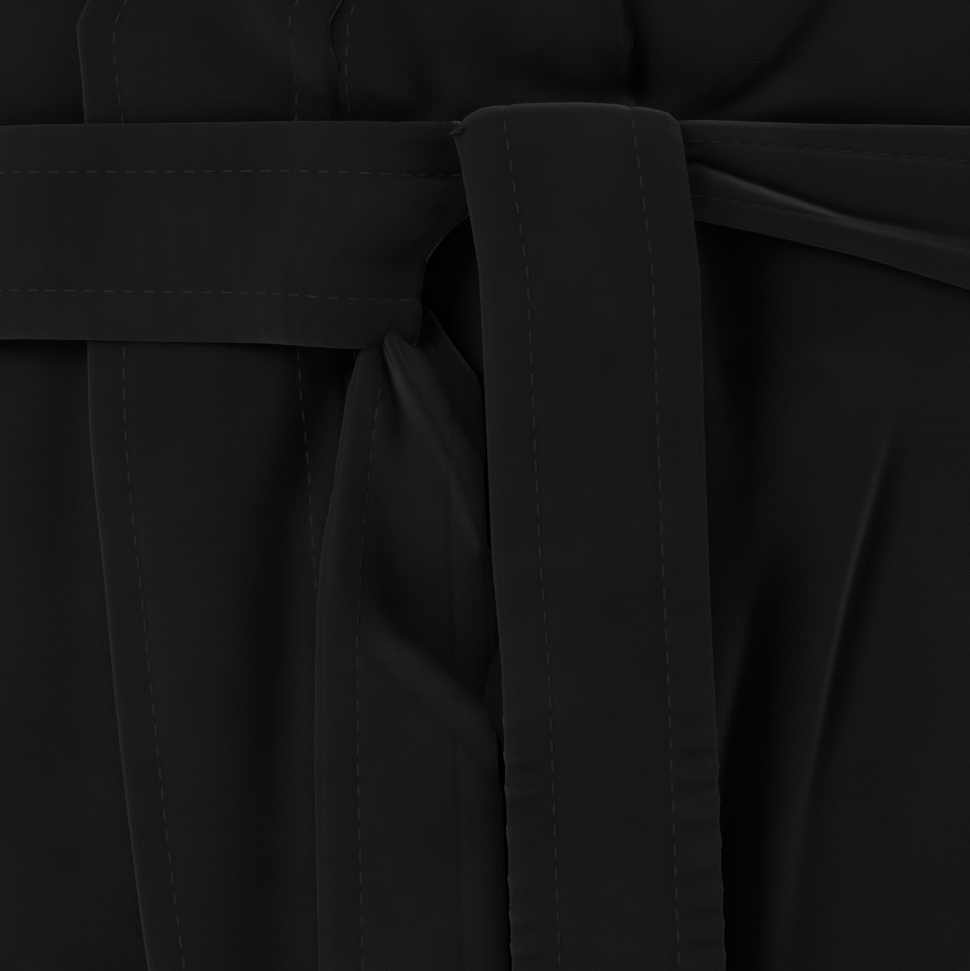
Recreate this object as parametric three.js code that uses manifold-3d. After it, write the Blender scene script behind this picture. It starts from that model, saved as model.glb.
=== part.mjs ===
// A black martial arts uniform as it is worn: a wrap jacket, a stitched belt tied in a half knot, and
// trousers. Millimetres, +Z up. The origin is the middle of the belt ring at the waist. The wearer faces -Y,
// so the wearer's left is +X. Every sewn panel is a thin closed solid, placed where it hangs on a wearer.
import * as THREE from "three";
import { mergeVertices } from "three/addons/utils/BufferGeometryUtils.js";
import Module from "manifold-3d";

const wasm = await Module();
wasm.setup();

// ---- Cloth and clearances
const CLOTH = 2.4; // a sewn panel with its seam allowance
const BAND = 4.4; // the collar band, several plies
const BELT_THICK = 3.2; // four plies of belt cloth
const SEAM = 0.8; // between two panels that meet at a seam
const TOUCH = 0.3; // between two solids that rest on each other
const LAYER = 0.9; // between a panel and the one that is wrapped over it
const RING = 2 * Math.PI;
const RIGHT_ANGLE = Math.PI / 2;
const UP = new THREE.Vector3(0, 0, 1);

// ---- Jacket
const HEM_DROP = 280; // belt centre down to the hem
const SHOULDER_RISE = 440; // belt centre up to the neck end of the shoulder seam
const SHOULDER_SLOPE = 0.2; // fall of the shoulder per millimetre outwards
const CHEST_RISE = 240;
const WAIST = { wide: 168, deep: 122 }; // half sizes of the outer cloth at the belt
const HEM = { wide: 205, deep: 126 };
const CHEST = { wide: 255, deep: 140 };
const ARM_PLANE = 225; // where each sleeve is sewn to the body, from the middle
const NECK = { wide: 72, deep: 62 };
const COLLAR_WIDE = 45; // the collar band from its seam to its free edge
const LAPEL_WAIST = -73; // free edge of the upper lapel at the belt
const LAPEL_HEM = -50; // the same edge at the hem
const VENT_RISE = 150; // side vent, from the hem up
const VENT_PATCH = 28;
const NECK_START = CHEST_RISE + 60; // the back panel begins to open round the neck here
const LAPEL_BEND = 40; // the lapels run straight up to this height, and then turn towards the neck
const LAPEL_CURVE = 0.9; // how straight the lapels run from there to the neck, 1 being straight
const HEM_PROUD = 0.6; // a turned hem stands this far off the cloth it ends
const PATCH_THICK = 1.2;

// ---- Sleeves: half heights run from the underarm to the outer arm, half depths from front to back
const SLEEVE_ANGLE = THREE.MathUtils.degToRad(24); // from the vertical
const SLEEVE_LENGTH = 380; // straight length below the shoulder's bend
const SLEEVE_ELBOW_SHARE = 0.42; // of the straight length, where the sleeve folds
const SLEEVE_TOP = { high: 95, deep: 82 };
const SLEEVE_CUFF = { high: 64, deep: 62 };
const CUFF_WIDE = 40; // the turned hem at the wrist
const UNDERARM_OFFSET = 10; // keeps the inside of the bend from pinching to a point
const ROUND_FROM = 0.7; // share of the bend by which the armhole's outline has become an oval

// ---- Belt
const BELT_WIDE = 40;
const BELT_RISE = { from: 45, to: 5 }; // how far before the lapel's edge the belt rises to cross it
const KNOT = { left: -15, right: 41, high: 43, proud: 13.5, corner: 7 };
const TAIL_SET_BACK = 1; // the front end's face is this far behind the knot's
const TAIL_LENGTH = 264; // of each end below the knot
const FRONT_TAIL = { left: 0, wide: BELT_WIDE, lean: THREE.MathUtils.degToRad(2.3) };
const BACK_TAIL = { left: -31, wide: 29.5, lean: 0 }; // pleated lengthwise, so narrower than the belt

// ---- The tie that hangs outside, a flat strip
const TIE = { wide: 14, thick: 2, drop: 150, below: 4 }; // below: from the belt's edge to its top
const TIE_ANGLE = THREE.MathUtils.degToRad(-62); // beside the side seam, below the belt

// ---- Trousers
const TROUSER_TOP = -2; // the waistband's top edge
const WAISTBAND = {
  high: 38,
  thick: 3.6,
  wide: WAIST.wide - CLOTH - LAYER,
  deep: WAIST.deep - CLOTH - LAYER,
};
const CORD_SLIT = { apart: 44, wide: 12, high: 3.4 };
const CROTCH_DROP = 245;
const SEAT = { wide: 184, deep: 116 };
const THIGH_FOLD = 300; // where the leg folds forward at the hip
const KNEE_DROP = 565;
const ANKLE_DROP = 930;
const LEG_HEM = 32;
const LEG_GAP = 8; // from the middle to the inside of each leg at the crotch
const OVAL_START = CROTCH_DROP - 12; // the leg's outline begins to turn from a D to an oval here
const GUSSET_SHORT = 15; // the gusset ends this far short of the seat's front and back
const THIGH = { wide: 86, deep: 94, out: 97 };
const KNEE = { wide: 86, deep: 88, out: 112 };
const ANKLE = { wide: 82, deep: 82, out: 126 };
const KNEE_PATCH = { high: 190, thick: 1.4, half: THREE.MathUtils.degToRad(52) };

// ---- Materials
const clothBlack = new THREE.MeshStandardMaterial({ color: 0x131114, roughness: 0.92, metalness: 0 });
const beltBlack = new THREE.MeshStandardMaterial({ color: 0x151317, roughness: 0.88, metalness: 0 });
const facingBlack = new THREE.MeshStandardMaterial({ color: 0x121013, roughness: 0.92, metalness: 0 });
const tapeBlack = new THREE.MeshStandardMaterial({ color: 0x141216, roughness: 0.85, metalness: 0 });

// ---- Small helpers
const { lerp, smoothstep, clamp } = THREE.MathUtils;
const steps = (from, to, count) => Array.from({ length: count + 1 }, (_, i) => lerp(from, to, i / count));

// The unit normal of a surface at (u, v), from points a little to each side.
function normalAt(surface, u, v, nudge) {
  const [du, dv] = nudge;
  const alongU = surface(u + du, v).sub(surface(u - du, v));
  const alongV = surface(u, v + dv).sub(surface(u, v - dv));
  return alongU.cross(alongV).normalize();
}

// A closed solid between two skins of a surface: the outer one stands `lift` off it along its normal, and the
// inner one lies `thick` further in. With wrap, the last u meets the first and the solid is a tube. The
// direction `across` gives for a row is taken out of its normals, so the row's cut face is square to it.
function clothSolid(surface, us, vs, options = {}) {
  const { thick = CLOTH, lift = 0, wrap = false, nudge = [1e-3, 0.25], across = null } = options;
  const liftAt = typeof lift === "function" ? lift : () => lift;
  const columns = wrap ? us.slice(0, -1) : us;
  const wide = columns.length;
  const along = vs.length;
  const facing = outwardSign(surface, us, vs, nudge, wrap);
  const positions = [];
  for (const depth of [0, thick]) {
    for (const v of vs) {
      for (const u of columns) {
        const normal = normalAt(surface, u, v, nudge).multiplyScalar(facing);
        if (across) normal.projectOnPlane(across(v)).normalize();
        const point = surface(u, v).addScaledVector(normal, liftAt(u, v) - depth);
        positions.push(point.x, point.y, point.z);
      }
    }
  }
  const at = (skin, i, j) => (skin * along + j) * wide + (i % wide);
  const faces = [];
  const quad = (a, b, c, d) => faces.push(a, b, c, a, c, d);
  const lastColumn = wrap ? wide : wide - 1;
  for (let j = 0; j < along - 1; j++) {
    for (let i = 0; i < lastColumn; i++) {
      quad(at(0, i, j), at(0, i + 1, j), at(0, i + 1, j + 1), at(0, i, j + 1));
      quad(at(1, i, j), at(1, i, j + 1), at(1, i + 1, j + 1), at(1, i + 1, j));
    }
    if (!wrap) {
      quad(at(0, 0, j), at(0, 0, j + 1), at(1, 0, j + 1), at(1, 0, j));
      quad(at(0, wide - 1, j), at(1, wide - 1, j), at(1, wide - 1, j + 1), at(0, wide - 1, j + 1));
    }
  }
  for (let i = 0; i < lastColumn; i++) {
    quad(at(0, i, 0), at(1, i, 0), at(1, i + 1, 0), at(0, i + 1, 0));
    quad(at(0, i, along - 1), at(0, i + 1, along - 1), at(1, i + 1, along - 1), at(1, i, along - 1));
  }
  return facingOut(new THREE.BufferGeometry()
    .setAttribute("position", new THREE.Float32BufferAttribute(positions, 3))
    .setIndex(faces));
}

// +1 if the surface's own normal points outwards, and -1 if it points inwards. Outwards is away from the
// middle of a tube, and away from the wearer's upright axis for a panel.
function outwardSign(surface, us, vs, nudge, wrap) {
  const middle = new THREE.Vector3();
  if (wrap) {
    for (const v of vs) for (const u of us) middle.add(surface(u, v));
    middle.divideScalar(us.length * vs.length);
  }
  let sum = 0;
  for (const v of vs) {
    for (const u of us) {
      const away = surface(u, v).sub(middle).setZ(0);
      sum += normalAt(surface, u, v, nudge).dot(away);
    }
  }
  return Math.sign(sum) || 1;
}

// Turns the faces round if they enclose a negative volume.
function facingOut(geometry) {
  const p = geometry.getAttribute("position");
  const index = geometry.index.array;
  const corner = [new THREE.Vector3(), new THREE.Vector3(), new THREE.Vector3()];
  let volume = 0;
  for (let i = 0; i < index.length; i += 3) {
    corner.forEach((c, k) => c.fromBufferAttribute(p, index[i + k]));
    volume += corner[0].dot(corner[1].clone().cross(corner[2]));
  }
  if (volume < 0) {
    for (let i = 0; i < index.length; i += 3) [index[i + 1], index[i + 2]] = [index[i + 2], index[i + 1]];
  }
  return geometry;
}

// A three.js geometry as a manifold solid, and back.
function toSolid(geometry) {
  const bare = geometry.index ? geometry.toNonIndexed() : geometry.clone();
  bare.deleteAttribute("normal");
  bare.deleteAttribute("uv");
  const merged = mergeVertices(bare, 1e-4);
  return new wasm.Manifold(new wasm.Mesh({
    numProp: 3,
    vertProperties: merged.getAttribute("position").array,
    triVerts: new Uint32Array(merged.index.array),
  }));
}

function toGeometry(solid) {
  const mesh = solid.getMesh();
  return new THREE.BufferGeometry()
    .setAttribute("position", new THREE.BufferAttribute(new Float32Array(mesh.vertProperties), 3))
    .setIndex(new THREE.BufferAttribute(new Uint32Array(mesh.triVerts), 1));
}

function boxAt(wide, deep, high, x, y, z) {
  return new THREE.BoxGeometry(wide, deep, high).translate(x, y, z);
}

function piece(name, geometry, material) {
  const mesh = new THREE.Mesh(geometry, material);
  mesh.name = name;
  return mesh;
}

// ---- The jacket's shape: an ellipse at each height, pulled in at the belt and closed at the shoulder
const BELT_FLAT = BELT_WIDE / 2 + 5; // the cloth is held straight this far above and below the belt's middle

function halfSize(key, height) {
  if (height < 0) return lerp(HEM[key], WAIST[key], smoothstep(height, -HEM_DROP, -BELT_FLAT));
  return lerp(WAIST[key], CHEST[key], smoothstep(height, BELT_FLAT, CHEST_RISE));
}

function halfDepth(height) {
  if (height <= CHEST_RISE) return halfSize("deep", height);
  const share = clamp((height - CHEST_RISE) / (SHOULDER_RISE - CHEST_RISE), 0, 1);
  return CHEST.deep * Math.sqrt(1 - share * share);
}

const halfWidth = (height) => halfSize("wide", height);
const shoulderDrop = (x, height) =>
  SHOULDER_SLOPE * Math.abs(x) * smoothstep(height, CHEST_RISE, SHOULDER_RISE);

// A point of the jacket's cloth. The angle is 0 at the front, a right angle at +X, half a turn at the back.
function jacketPoint(angle, height, shift = 0) {
  const x = halfWidth(height) * Math.sin(angle);
  const depth = halfDepth(height) * Math.cos(angle);
  const z = height - shoulderDrop(x, height);
  return new THREE.Vector3(x, -depth + shift, z);
}

// The back panel opens round the neck at the top, where the shoulder ridge would cross it.
function backPoint(angle, height) {
  const point = jacketPoint(angle, height);
  const across = clamp(1 - (point.x / NECK.wide) ** 2, 0, 1);
  const neck = NECK.deep * Math.sqrt(across) * smoothstep(height, NECK_START, SHOULDER_RISE);
  point.y = (Math.sign(point.y) || 1) * Math.hypot(point.y, neck) + SEAM / 2;
  return point;
}

// Angle of the panel's side edge: the side seam, or the armhole above the armpit.
const sideAngle = (height) => Math.asin(Math.min(1, ARM_PLANE / halfWidth(height)));
const angleOf = (x, height) => Math.asin(clamp(x / halfWidth(height), -1, 1));

// The height at which the jacket is as wide as the plane of the armholes.
function armpitHeight() {
  let low = BELT_FLAT;
  let high = CHEST_RISE;
  for (let i = 0; i < 40; i++) {
    const middle = (low + high) / 2;
    if (halfWidth(middle) < ARM_PLANE) low = middle;
    else high = middle;
  }
  return (low + high) / 2;
}

// Where the free edge and the seam of the upper lapel (wearer's left) run, across the body.
function lapelEdge(height) {
  if (height < 0) return lerp(LAPEL_HEM, LAPEL_WAIST, smoothstep(height, -HEM_DROP, 0));
  const share = clamp((height - LAPEL_BEND) / (SHOULDER_RISE - LAPEL_BEND), 0, 1);
  return lerp(LAPEL_WAIST, NECK.wide - COLLAR_WIDE, share ** LAPEL_CURVE);
}
const lapelSeam = (height) => lapelEdge(height) + COLLAR_WIDE;

// The upper front lies outside the lower lapel, and comes back to the body beyond it.
const OVERLAP_LIFT = BAND - CLOTH + LAYER + CLOTH;
const FALL_START = 15; // past the lower lapel's free edge
const FALL_END = 70;

function upperLift(angle, height) {
  const past = jacketPoint(angle, height).x + lapelEdge(height);
  return OVERLAP_LIFT * (1 - smoothstep(past, FALL_START, FALL_END));
}

const ARMPIT = armpitHeight();
const SHOULDER_ROWS = 8;
const bodyRows = [
  ...steps(-HEM_DROP, -BELT_FLAT, 5),
  0,
  ...steps(BELT_FLAT, ARMPIT, 4),
  (ARMPIT + CHEST_RISE) / 2,
  ...steps(0, RIGHT_ANGLE, SHOULDER_ROWS).map((a) => lerp(CHEST_RISE, SHOULDER_RISE, Math.sin(a))),
];

// ---- Jacket panels
function backPanel(name, rows) {
  const surface = (u, height) => {
    const side = sideAngle(height);
    return backPoint(lerp(Math.PI - side, Math.PI + side, u), height);
  };
  return piece(name, clothSolid(surface, steps(0, 1, 22), rows), clothBlack);
}

function frontPanel(name, side, lift) {
  const surface = (u, height) => {
    const seam = angleOf(lapelSeam(height) + SEAM / 2, height);
    const point = jacketPoint(lerp(seam, sideAngle(height), u), height, -SEAM / 2);
    point.x *= side;
    return point;
  };
  const angleAt = (u, height) => lerp(angleOf(lapelSeam(height), height), sideAngle(height), u);
  const liftAt = lift ? (u, height) => upperLift(angleAt(u, height), height) : 0;
  return piece(name, clothSolid(surface, steps(0, 1, 13), bodyRows, { lift: liftAt }), clothBlack);
}

// The collar band lies flat on the front, turns on edge at the side of the neck and stands behind it.
const STAND_START = 0.72; // share of the shoulder's height where the band begins to stand up
const STAND_LEAN = 8; // how far its top leans in over its seam
const STAND_HIGH = COLLAR_WIDE - 3; // how far its top rises over its seam
const LIFT_END = 0.85; // share of the front's height where the upper band comes down to the lower one

function collarBand(name, side, lift) {
  const neckSteps = steps(1, 2, 7).slice(1);
  const frontSteps = bodyRows.map((height) => (height + HEM_DROP) / (HEM_DROP + SHOULDER_RISE));
  const surface = (u, t) => {
    const point = t <= 1 ? collarOnFront(u, t) : collarAtNeck(u, t - 1);
    point.x *= side;
    return point;
  };
  const liftAt = (u, t) => {
    const height = lerp(-HEM_DROP, SHOULDER_RISE, Math.min(t, 1));
    const angle = angleOf(lapelEdge(height), height);
    return BAND - CLOTH + (lift ? upperLift(angle, height) * (1 - smoothstep(t, LIFT_END, 1)) : 0);
  };
  const geometry = clothSolid(surface, steps(0, 1, 3), [...frontSteps, ...neckSteps],
    { thick: BAND, lift: liftAt, nudge: [1e-3, 1e-3] });
  return piece(name, geometry, facingBlack);
}

function collarOnFront(u, t) {
  const height = lerp(-HEM_DROP, SHOULDER_RISE, t);
  const seam = lapelSeam(height) - SEAM / 2;
  const flat = jacketPoint(angleOf(lerp(seam, lapelEdge(height), u), height), height, -SEAM / 2);
  const root = jacketPoint(angleOf(seam, height), height, -SEAM / 2);
  const standing = root.clone().addScaledVector(new THREE.Vector3(-STAND_LEAN, -STAND_LEAN, STAND_HIGH), u);
  return flat.lerp(standing, smoothstep(height, SHOULDER_RISE * STAND_START, SHOULDER_RISE));
}

function collarAtNeck(u, turn) {
  const start = collarOnFront(0, 1);
  const angle = turn * RIGHT_ANGLE;
  const foot = new THREE.Vector3(
    start.x * Math.cos(angle) + SEAM / 2 * Math.sin(angle),
    start.y + (NECK.deep + 2 * CLOTH) * Math.sin(angle),
    lerp(start.z, SHOULDER_RISE + LAYER, Math.sin(angle)),
  );
  const lean = new THREE.Vector3(-STAND_LEAN * Math.cos(angle), -STAND_LEAN, STAND_HIGH);
  return foot.addScaledVector(lean, u);
}

function ventPatch(name, side) {
  const surface = (u, height) => {
    const half = VENT_PATCH / 2 / halfDepth(height);
    return jacketPoint(side * (RIGHT_ANGLE + lerp(-half, half, u)), height);
  };
  const top = -HEM_DROP + VENT_RISE + VENT_PATCH / 2;
  const options = { thick: PATCH_THICK, lift: PATCH_THICK + LAYER };
  const rows = steps(top - VENT_PATCH, top, 3);
  return piece(name, clothSolid(surface, steps(0, 1, 6), rows, options), facingBlack);
}

// A flat tie that hangs against the jacket's cloth from just under the belt.
function tie(name) {
  const surface = (u, height) => {
    const half = TIE.wide / 2 / halfWidth(height);
    return jacketPoint(TIE_ANGLE + lerp(-half, half, u), height);
  };
  const top = -BELT_WIDE / 2 - TIE.below;
  const options = { thick: TIE.thick, lift: TIE.thick + LAYER + SEAM / 2 };
  const rows = steps(top - TIE.drop, top, 8);
  return piece(name, clothSolid(surface, steps(0, 1, 2), rows, options), tapeBlack);
}

// ---- Sleeves
const ARMHOLE_TOP = SHOULDER_RISE - SHOULDER_SLOPE * ARM_PLANE;
const ARMHOLE_HALF = (ARMHOLE_TOP - ARMPIT) / 2;
const BEND = RIGHT_ANGLE - SLEEVE_ANGLE; // the sleeve's planes turn from the armhole's by this much
const PIVOT = new THREE.Vector3(ARM_PLANE + TOUCH, 0, ARMPIT - UNDERARM_OFFSET);

// The direction from the underarm to the outer arm, and the direction down the sleeve, after a turn.
const outwards = (turn) => new THREE.Vector3(Math.sin(turn), 0, Math.cos(turn));
const downSleeve = (turn) => new THREE.Vector3(Math.cos(turn), 0, -Math.sin(turn));

// Where the armhole's edge is at a point round it: 0 is the armpit, half a turn the shoulder.
function armholeEdge(around) {
  const high = -Math.cos(around); // -1 at the armpit, 1 at the shoulder
  let low = ARMPIT;
  let top = SHOULDER_RISE;
  const z = ARMPIT + (high + 1) * ARMHOLE_HALF;
  for (let i = 0; i < 40; i++) {
    const middle = (low + top) / 2;
    if (middle - shoulderDrop(ARM_PLANE, middle) < z) low = middle;
    else top = middle;
  }
  const angle = Math.asin(Math.min(1, ARM_PLANE / halfWidth(low)));
  return { high, deep: halfDepth(low) * Math.cos(angle) };
}

// t from 0 to 1 is the bend at the shoulder, and from 1 to 2 the straight sleeve.
function sleevePoint(around, t, side) {
  const turn = BEND * clamp(t, 0, 1);
  const taper = Math.max(0, t - 1);
  const high = lerp(lerp(ARMHOLE_HALF, SLEEVE_TOP.high, Math.min(t, 1)), SLEEVE_CUFF.high, taper);
  const edge = armholeEdge(around);
  const round = lerp(SLEEVE_TOP.deep, SLEEVE_CUFF.deep, taper) * Math.sin(around);
  const deep = lerp(edge.deep * Math.sign(Math.sin(around)), round, smoothstep(t, 0, ROUND_FROM));
  const point = PIVOT.clone()
    .addScaledVector(outwards(turn), UNDERARM_OFFSET + high * (1 + edge.high))
    .addScaledVector(downSleeve(turn), taper * SLEEVE_LENGTH);
  point.y = -deep;
  point.x *= side;
  return point;
}

const ELBOW = 1 + SLEEVE_ELBOW_SHARE;
const CUFF = 2 - CUFF_WIDE / SLEEVE_LENGTH;
const SLEEVE_COLUMNS = 22;

function sleeveTube(name, side, from, to, rows, material, lift = 0) {
  const surface = (around, t) => sleevePoint(around, t, side);
  const across = (t) => downSleeve(BEND * Math.min(t, 1)).multiply(new THREE.Vector3(side, 1, 1));
  const options = { wrap: true, lift, nudge: [1e-3, 1e-3], across };
  const columns = steps(0, RING, SLEEVE_COLUMNS);
  return piece(name, clothSolid(surface, columns, steps(from, to, rows), options), material);
}

function sleeve(label, side) {
  const gap = TOUCH / SLEEVE_LENGTH;
  return [
    sleeveTube(`${label}_upper_sleeve`, side, 0, ELBOW, 9, clothBlack),
    sleeveTube(`${label}_lower_sleeve`, side, ELBOW + gap, CUFF, 4, clothBlack),
    sleeveTube(`${label}_cuff_hem`, side, CUFF + gap, 2, 1, facingBlack, HEM_PROUD),
  ];
}

// ---- Belt
// The belt stands off the cloth under it: two fronts and a lapel in the middle, one panel elsewhere.
function beltClearance(angle) {
  const x = WAIST.wide * Math.sin(angle);
  if (Math.cos(angle) < 0) return LAYER + SEAM / 2;
  const overLapel = smoothstep(x, LAPEL_WAIST - BELT_RISE.from, LAPEL_WAIST - BELT_RISE.to);
  const overLower = 1 - smoothstep(x, -LAPEL_WAIST + FALL_END, WAIST.wide - 2);
  return LAYER + SEAM / 2 + (OVERLAP_LIFT + BAND - CLOTH) * overLapel * overLower;
}

function beltWrap() {
  const surface = (angle, height) =>
    new THREE.Vector3(WAIST.wide * Math.sin(angle), -WAIST.deep * Math.cos(angle), height);
  const start = Math.asin((KNOT.left - TOUCH) / WAIST.wide);
  const end = Math.asin((KNOT.right + TOUCH) / WAIST.wide) - RING;
  const options = { thick: BELT_THICK, lift: (angle) => beltClearance(angle) + BELT_THICK };
  return piece("belt_wrap", clothSolid(surface, steps(end, start, 52),
    steps(-BELT_WIDE / 2, BELT_WIDE / 2, 1), options), beltBlack);
}

const KNOT_BACK = -(WAIST.deep + SEAM + OVERLAP_LIFT + BAND - CLOTH + LAYER);
const KNOT_FRONT = KNOT_BACK - KNOT.proud;

// The crossing of the two ends: a soft block with rounded corners.
function beltKnot() {
  const { left, right, corner } = KNOT;
  const half = KNOT.high / 2;
  const outline = new THREE.Shape();
  outline.moveTo(left + corner, -half);
  outline.lineTo(right - corner, -half);
  outline.quadraticCurveTo(right, -half, right, -half + corner);
  outline.lineTo(right, half - corner);
  outline.quadraticCurveTo(right, half, right - corner, half);
  outline.lineTo(left + corner, half);
  outline.quadraticCurveTo(left, half, left, half - corner);
  outline.lineTo(left, -half + corner);
  outline.quadraticCurveTo(left, -half, left + corner, -half);
  const extrude = { depth: KNOT.proud, bevelEnabled: false, curveSegments: 4 };
  const block = new THREE.ExtrudeGeometry(outline, extrude);
  return piece("belt_knot", block.rotateX(RIGHT_ANGLE).translate(0, KNOT_BACK, 0), beltBlack);
}

// A belt end that hangs from under the knot, its front face at the given depth.
function beltTail(name, size, front) {
  const strip = new THREE.BoxGeometry(size.wide, BELT_THICK, TAIL_LENGTH);
  const tail = piece(name, strip.translate(size.wide / 2, BELT_THICK / 2, -TAIL_LENGTH / 2), beltBlack);
  tail.position.set(size.left, front, -KNOT.high / 2 - TOUCH - size.wide * Math.sin(size.lean));
  tail.rotation.y = -size.lean;
  return tail;
}

function beltTails() {
  return [
    beltTail("belt_front_tail", FRONT_TAIL, KNOT_FRONT + TAIL_SET_BACK),
    beltTail("belt_back_tail", BACK_TAIL, KNOT_BACK - 2 * BELT_THICK),
  ];
}

// ---- Trousers
function trouserPoint(angle, wide, deep, z) {
  return new THREE.Vector3(wide * Math.sin(angle), -deep * Math.cos(angle), z);
}

const WAISTBAND_FOOT = TROUSER_TOP - WAISTBAND.high;

function waistband() {
  const surface = (angle, z) => trouserPoint(angle, WAISTBAND.wide, WAISTBAND.deep, z);
  const ring = clothSolid(surface, steps(0, RING, 36), [WAISTBAND_FOOT, TROUSER_TOP],
    { wrap: true, thick: WAISTBAND.thick });
  const middle = (WAISTBAND_FOOT + TROUSER_TOP) / 2;
  const { apart, wide, high } = CORD_SLIT;
  const cut = (x) => toSolid(boxAt(wide, 6 * WAISTBAND.thick, high, x, -WAISTBAND.deep, middle));
  const open = toSolid(ring).subtract(cut(-apart / 2)).subtract(cut(apart / 2));
  return piece("waistband", toGeometry(open), facingBlack);
}

// Half of the seat, from the front seam round one hip to the back seam.
function seatPanel(name, side) {
  const top = WAISTBAND_FOOT - TOUCH;
  const surface = (angle, z) => {
    const share = smoothstep(z, -CROTCH_DROP, top);
    const wide = lerp(SEAT.wide, WAISTBAND.wide, share);
    const deep = lerp(SEAT.deep, WAISTBAND.deep, share);
    const point = trouserPoint(angle, wide, deep, z);
    point.x = side * (point.x + SEAM / 2);
    return point;
  };
  return piece(name, clothSolid(surface, steps(0, Math.PI, 16), steps(-CROTCH_DROP, top, 5)), clothBlack);
}

// One leg's outline at a height: the D under the seat turns into an oval, which tapers to the ankle.
function legPoint(around, z, side) {
  const outer = around <= Math.PI;
  const slack = Math.asin(LEG_GAP / SEAT.wide);
  const seatAngle = lerp(slack, Math.PI - slack, around / Math.PI);
  const flat = outer
    ? trouserPoint(seatAngle, SEAT.wide, SEAT.deep, z)
    : new THREE.Vector3(LEG_GAP, lerp(SEAT.deep, -SEAT.deep, (around - Math.PI) / Math.PI), z);
  const below = clamp((-z - THIGH_FOLD) / (KNEE_DROP - THIGH_FOLD), 0, 1);
  const shin = clamp((-z - KNEE_DROP) / (ANKLE_DROP - KNEE_DROP), 0, 1);
  const size = (key) => lerp(lerp(THIGH[key], KNEE[key], below), ANKLE[key], shin);
  const oval = trouserPoint(around, size("wide"), size("deep"), z);
  oval.x += size("out");
  const point = flat.lerp(oval, smoothstep(-z, OVAL_START, THIGH_FOLD));
  point.x *= side;
  return point;
}

const LEG_COLUMNS = 24;
const LEG_TURN = 0.06; // the columns start this far round, clear of the corner between the D's two sides

function legTube(name, side, top, foot, rows, material, lift = 0) {
  const surface = (around, z) => legPoint(((around % RING) + RING) % RING, z, side);
  const options = { wrap: true, lift, nudge: [1e-3, 0.1], across: () => UP };
  const columns = steps(LEG_TURN, RING + LEG_TURN, LEG_COLUMNS);
  return piece(name, clothSolid(surface, columns, steps(-foot, -top, rows), options), material);
}

function kneePatch(name, side) {
  const { half, high, thick } = KNEE_PATCH;
  const surface = (u, z) => legPoint((lerp(-half, half, u) + RING) % RING, z, side);
  const top = KNEE_DROP + 2 * TOUCH;
  const options = { thick, lift: thick + LAYER, nudge: [1e-3, 0.1], across: () => UP };
  const rows = steps(-top - high, -top, 4);
  return piece(name, clothSolid(surface, steps(0, 1, 8), rows, options), clothBlack);
}

function leg(label, side) {
  const hemTop = ANKLE_DROP - LEG_HEM;
  return [
    legTube(`${label}_hip`, side, CROTCH_DROP + TOUCH, THIGH_FOLD, 4, clothBlack),
    legTube(`${label}_thigh`, side, THIGH_FOLD + TOUCH, KNEE_DROP, 3, clothBlack),
    legTube(`${label}_shin`, side, KNEE_DROP + TOUCH, hemTop, 4, clothBlack),
    legTube(`${label}_leg_hem`, side, hemTop + TOUCH, ANKLE_DROP, 1, facingBlack, HEM_PROUD),
    kneePatch(`${label}_knee_patch`, side),
  ];
}

function crotchGusset() {
  const deep = 2 * (SEAT.deep - GUSSET_SHORT);
  const plate = boxAt(2 * (LEG_GAP - TOUCH), deep, CLOTH, 0, 0, -CROTCH_DROP - CLOTH / 2 - TOUCH);
  return piece("crotch_gusset", plate, clothBlack);
}

// ---- The uniform
const jacket = new THREE.Group();
jacket.add(
  backPanel("back_panel", bodyRows),
  frontPanel("left_front", 1, true),
  frontPanel("right_front", -1, false),
  collarBand("left_collar_band", 1, true),
  collarBand("right_collar_band", -1, false),
  ventPatch("left_vent_patch", 1),
  ventPatch("right_vent_patch", -1),
  tie("right_tie"),
  ...sleeve("left", 1),
  ...sleeve("right", -1),
);

const belt = new THREE.Group();
belt.add(beltWrap(), beltKnot(), ...beltTails());

const trousers = new THREE.Group();
trousers.add(
  waistband(),
  seatPanel("left_seat", 1),
  seatPanel("right_seat", -1),
  crotchGusset(),
  ...leg("left", 1),
  ...leg("right", -1),
);

const uniform = new THREE.Group();
uniform.add(jacket, belt, trousers);

export default uniform;
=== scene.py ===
"""A black martial arts uniform as worn: jacket, stitched belt and trousers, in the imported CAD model's frame.

Shapes are worked out in millimetres and turned into metres when a mesh is made. The wearer faces -Y.
"""

import math

import bpy
import numpy as np
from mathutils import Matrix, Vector


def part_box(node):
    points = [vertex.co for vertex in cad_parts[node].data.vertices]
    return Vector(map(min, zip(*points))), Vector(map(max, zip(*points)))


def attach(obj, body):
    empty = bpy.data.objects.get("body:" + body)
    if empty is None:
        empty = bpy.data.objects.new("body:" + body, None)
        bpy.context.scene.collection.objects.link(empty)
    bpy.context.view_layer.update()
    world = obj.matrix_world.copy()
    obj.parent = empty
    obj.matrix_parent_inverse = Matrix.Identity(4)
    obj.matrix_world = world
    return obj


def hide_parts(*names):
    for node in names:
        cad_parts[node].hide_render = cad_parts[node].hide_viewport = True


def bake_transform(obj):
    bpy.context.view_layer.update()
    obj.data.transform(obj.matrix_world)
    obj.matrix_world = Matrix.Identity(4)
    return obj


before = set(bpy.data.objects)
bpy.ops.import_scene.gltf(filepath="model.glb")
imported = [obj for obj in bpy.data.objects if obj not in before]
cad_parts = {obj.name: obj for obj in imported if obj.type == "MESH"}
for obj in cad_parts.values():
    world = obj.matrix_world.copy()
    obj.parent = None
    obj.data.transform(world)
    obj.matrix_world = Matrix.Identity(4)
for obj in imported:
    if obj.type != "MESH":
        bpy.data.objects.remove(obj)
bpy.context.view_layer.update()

MM = 0.001
TURN = 2 * math.pi


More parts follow.
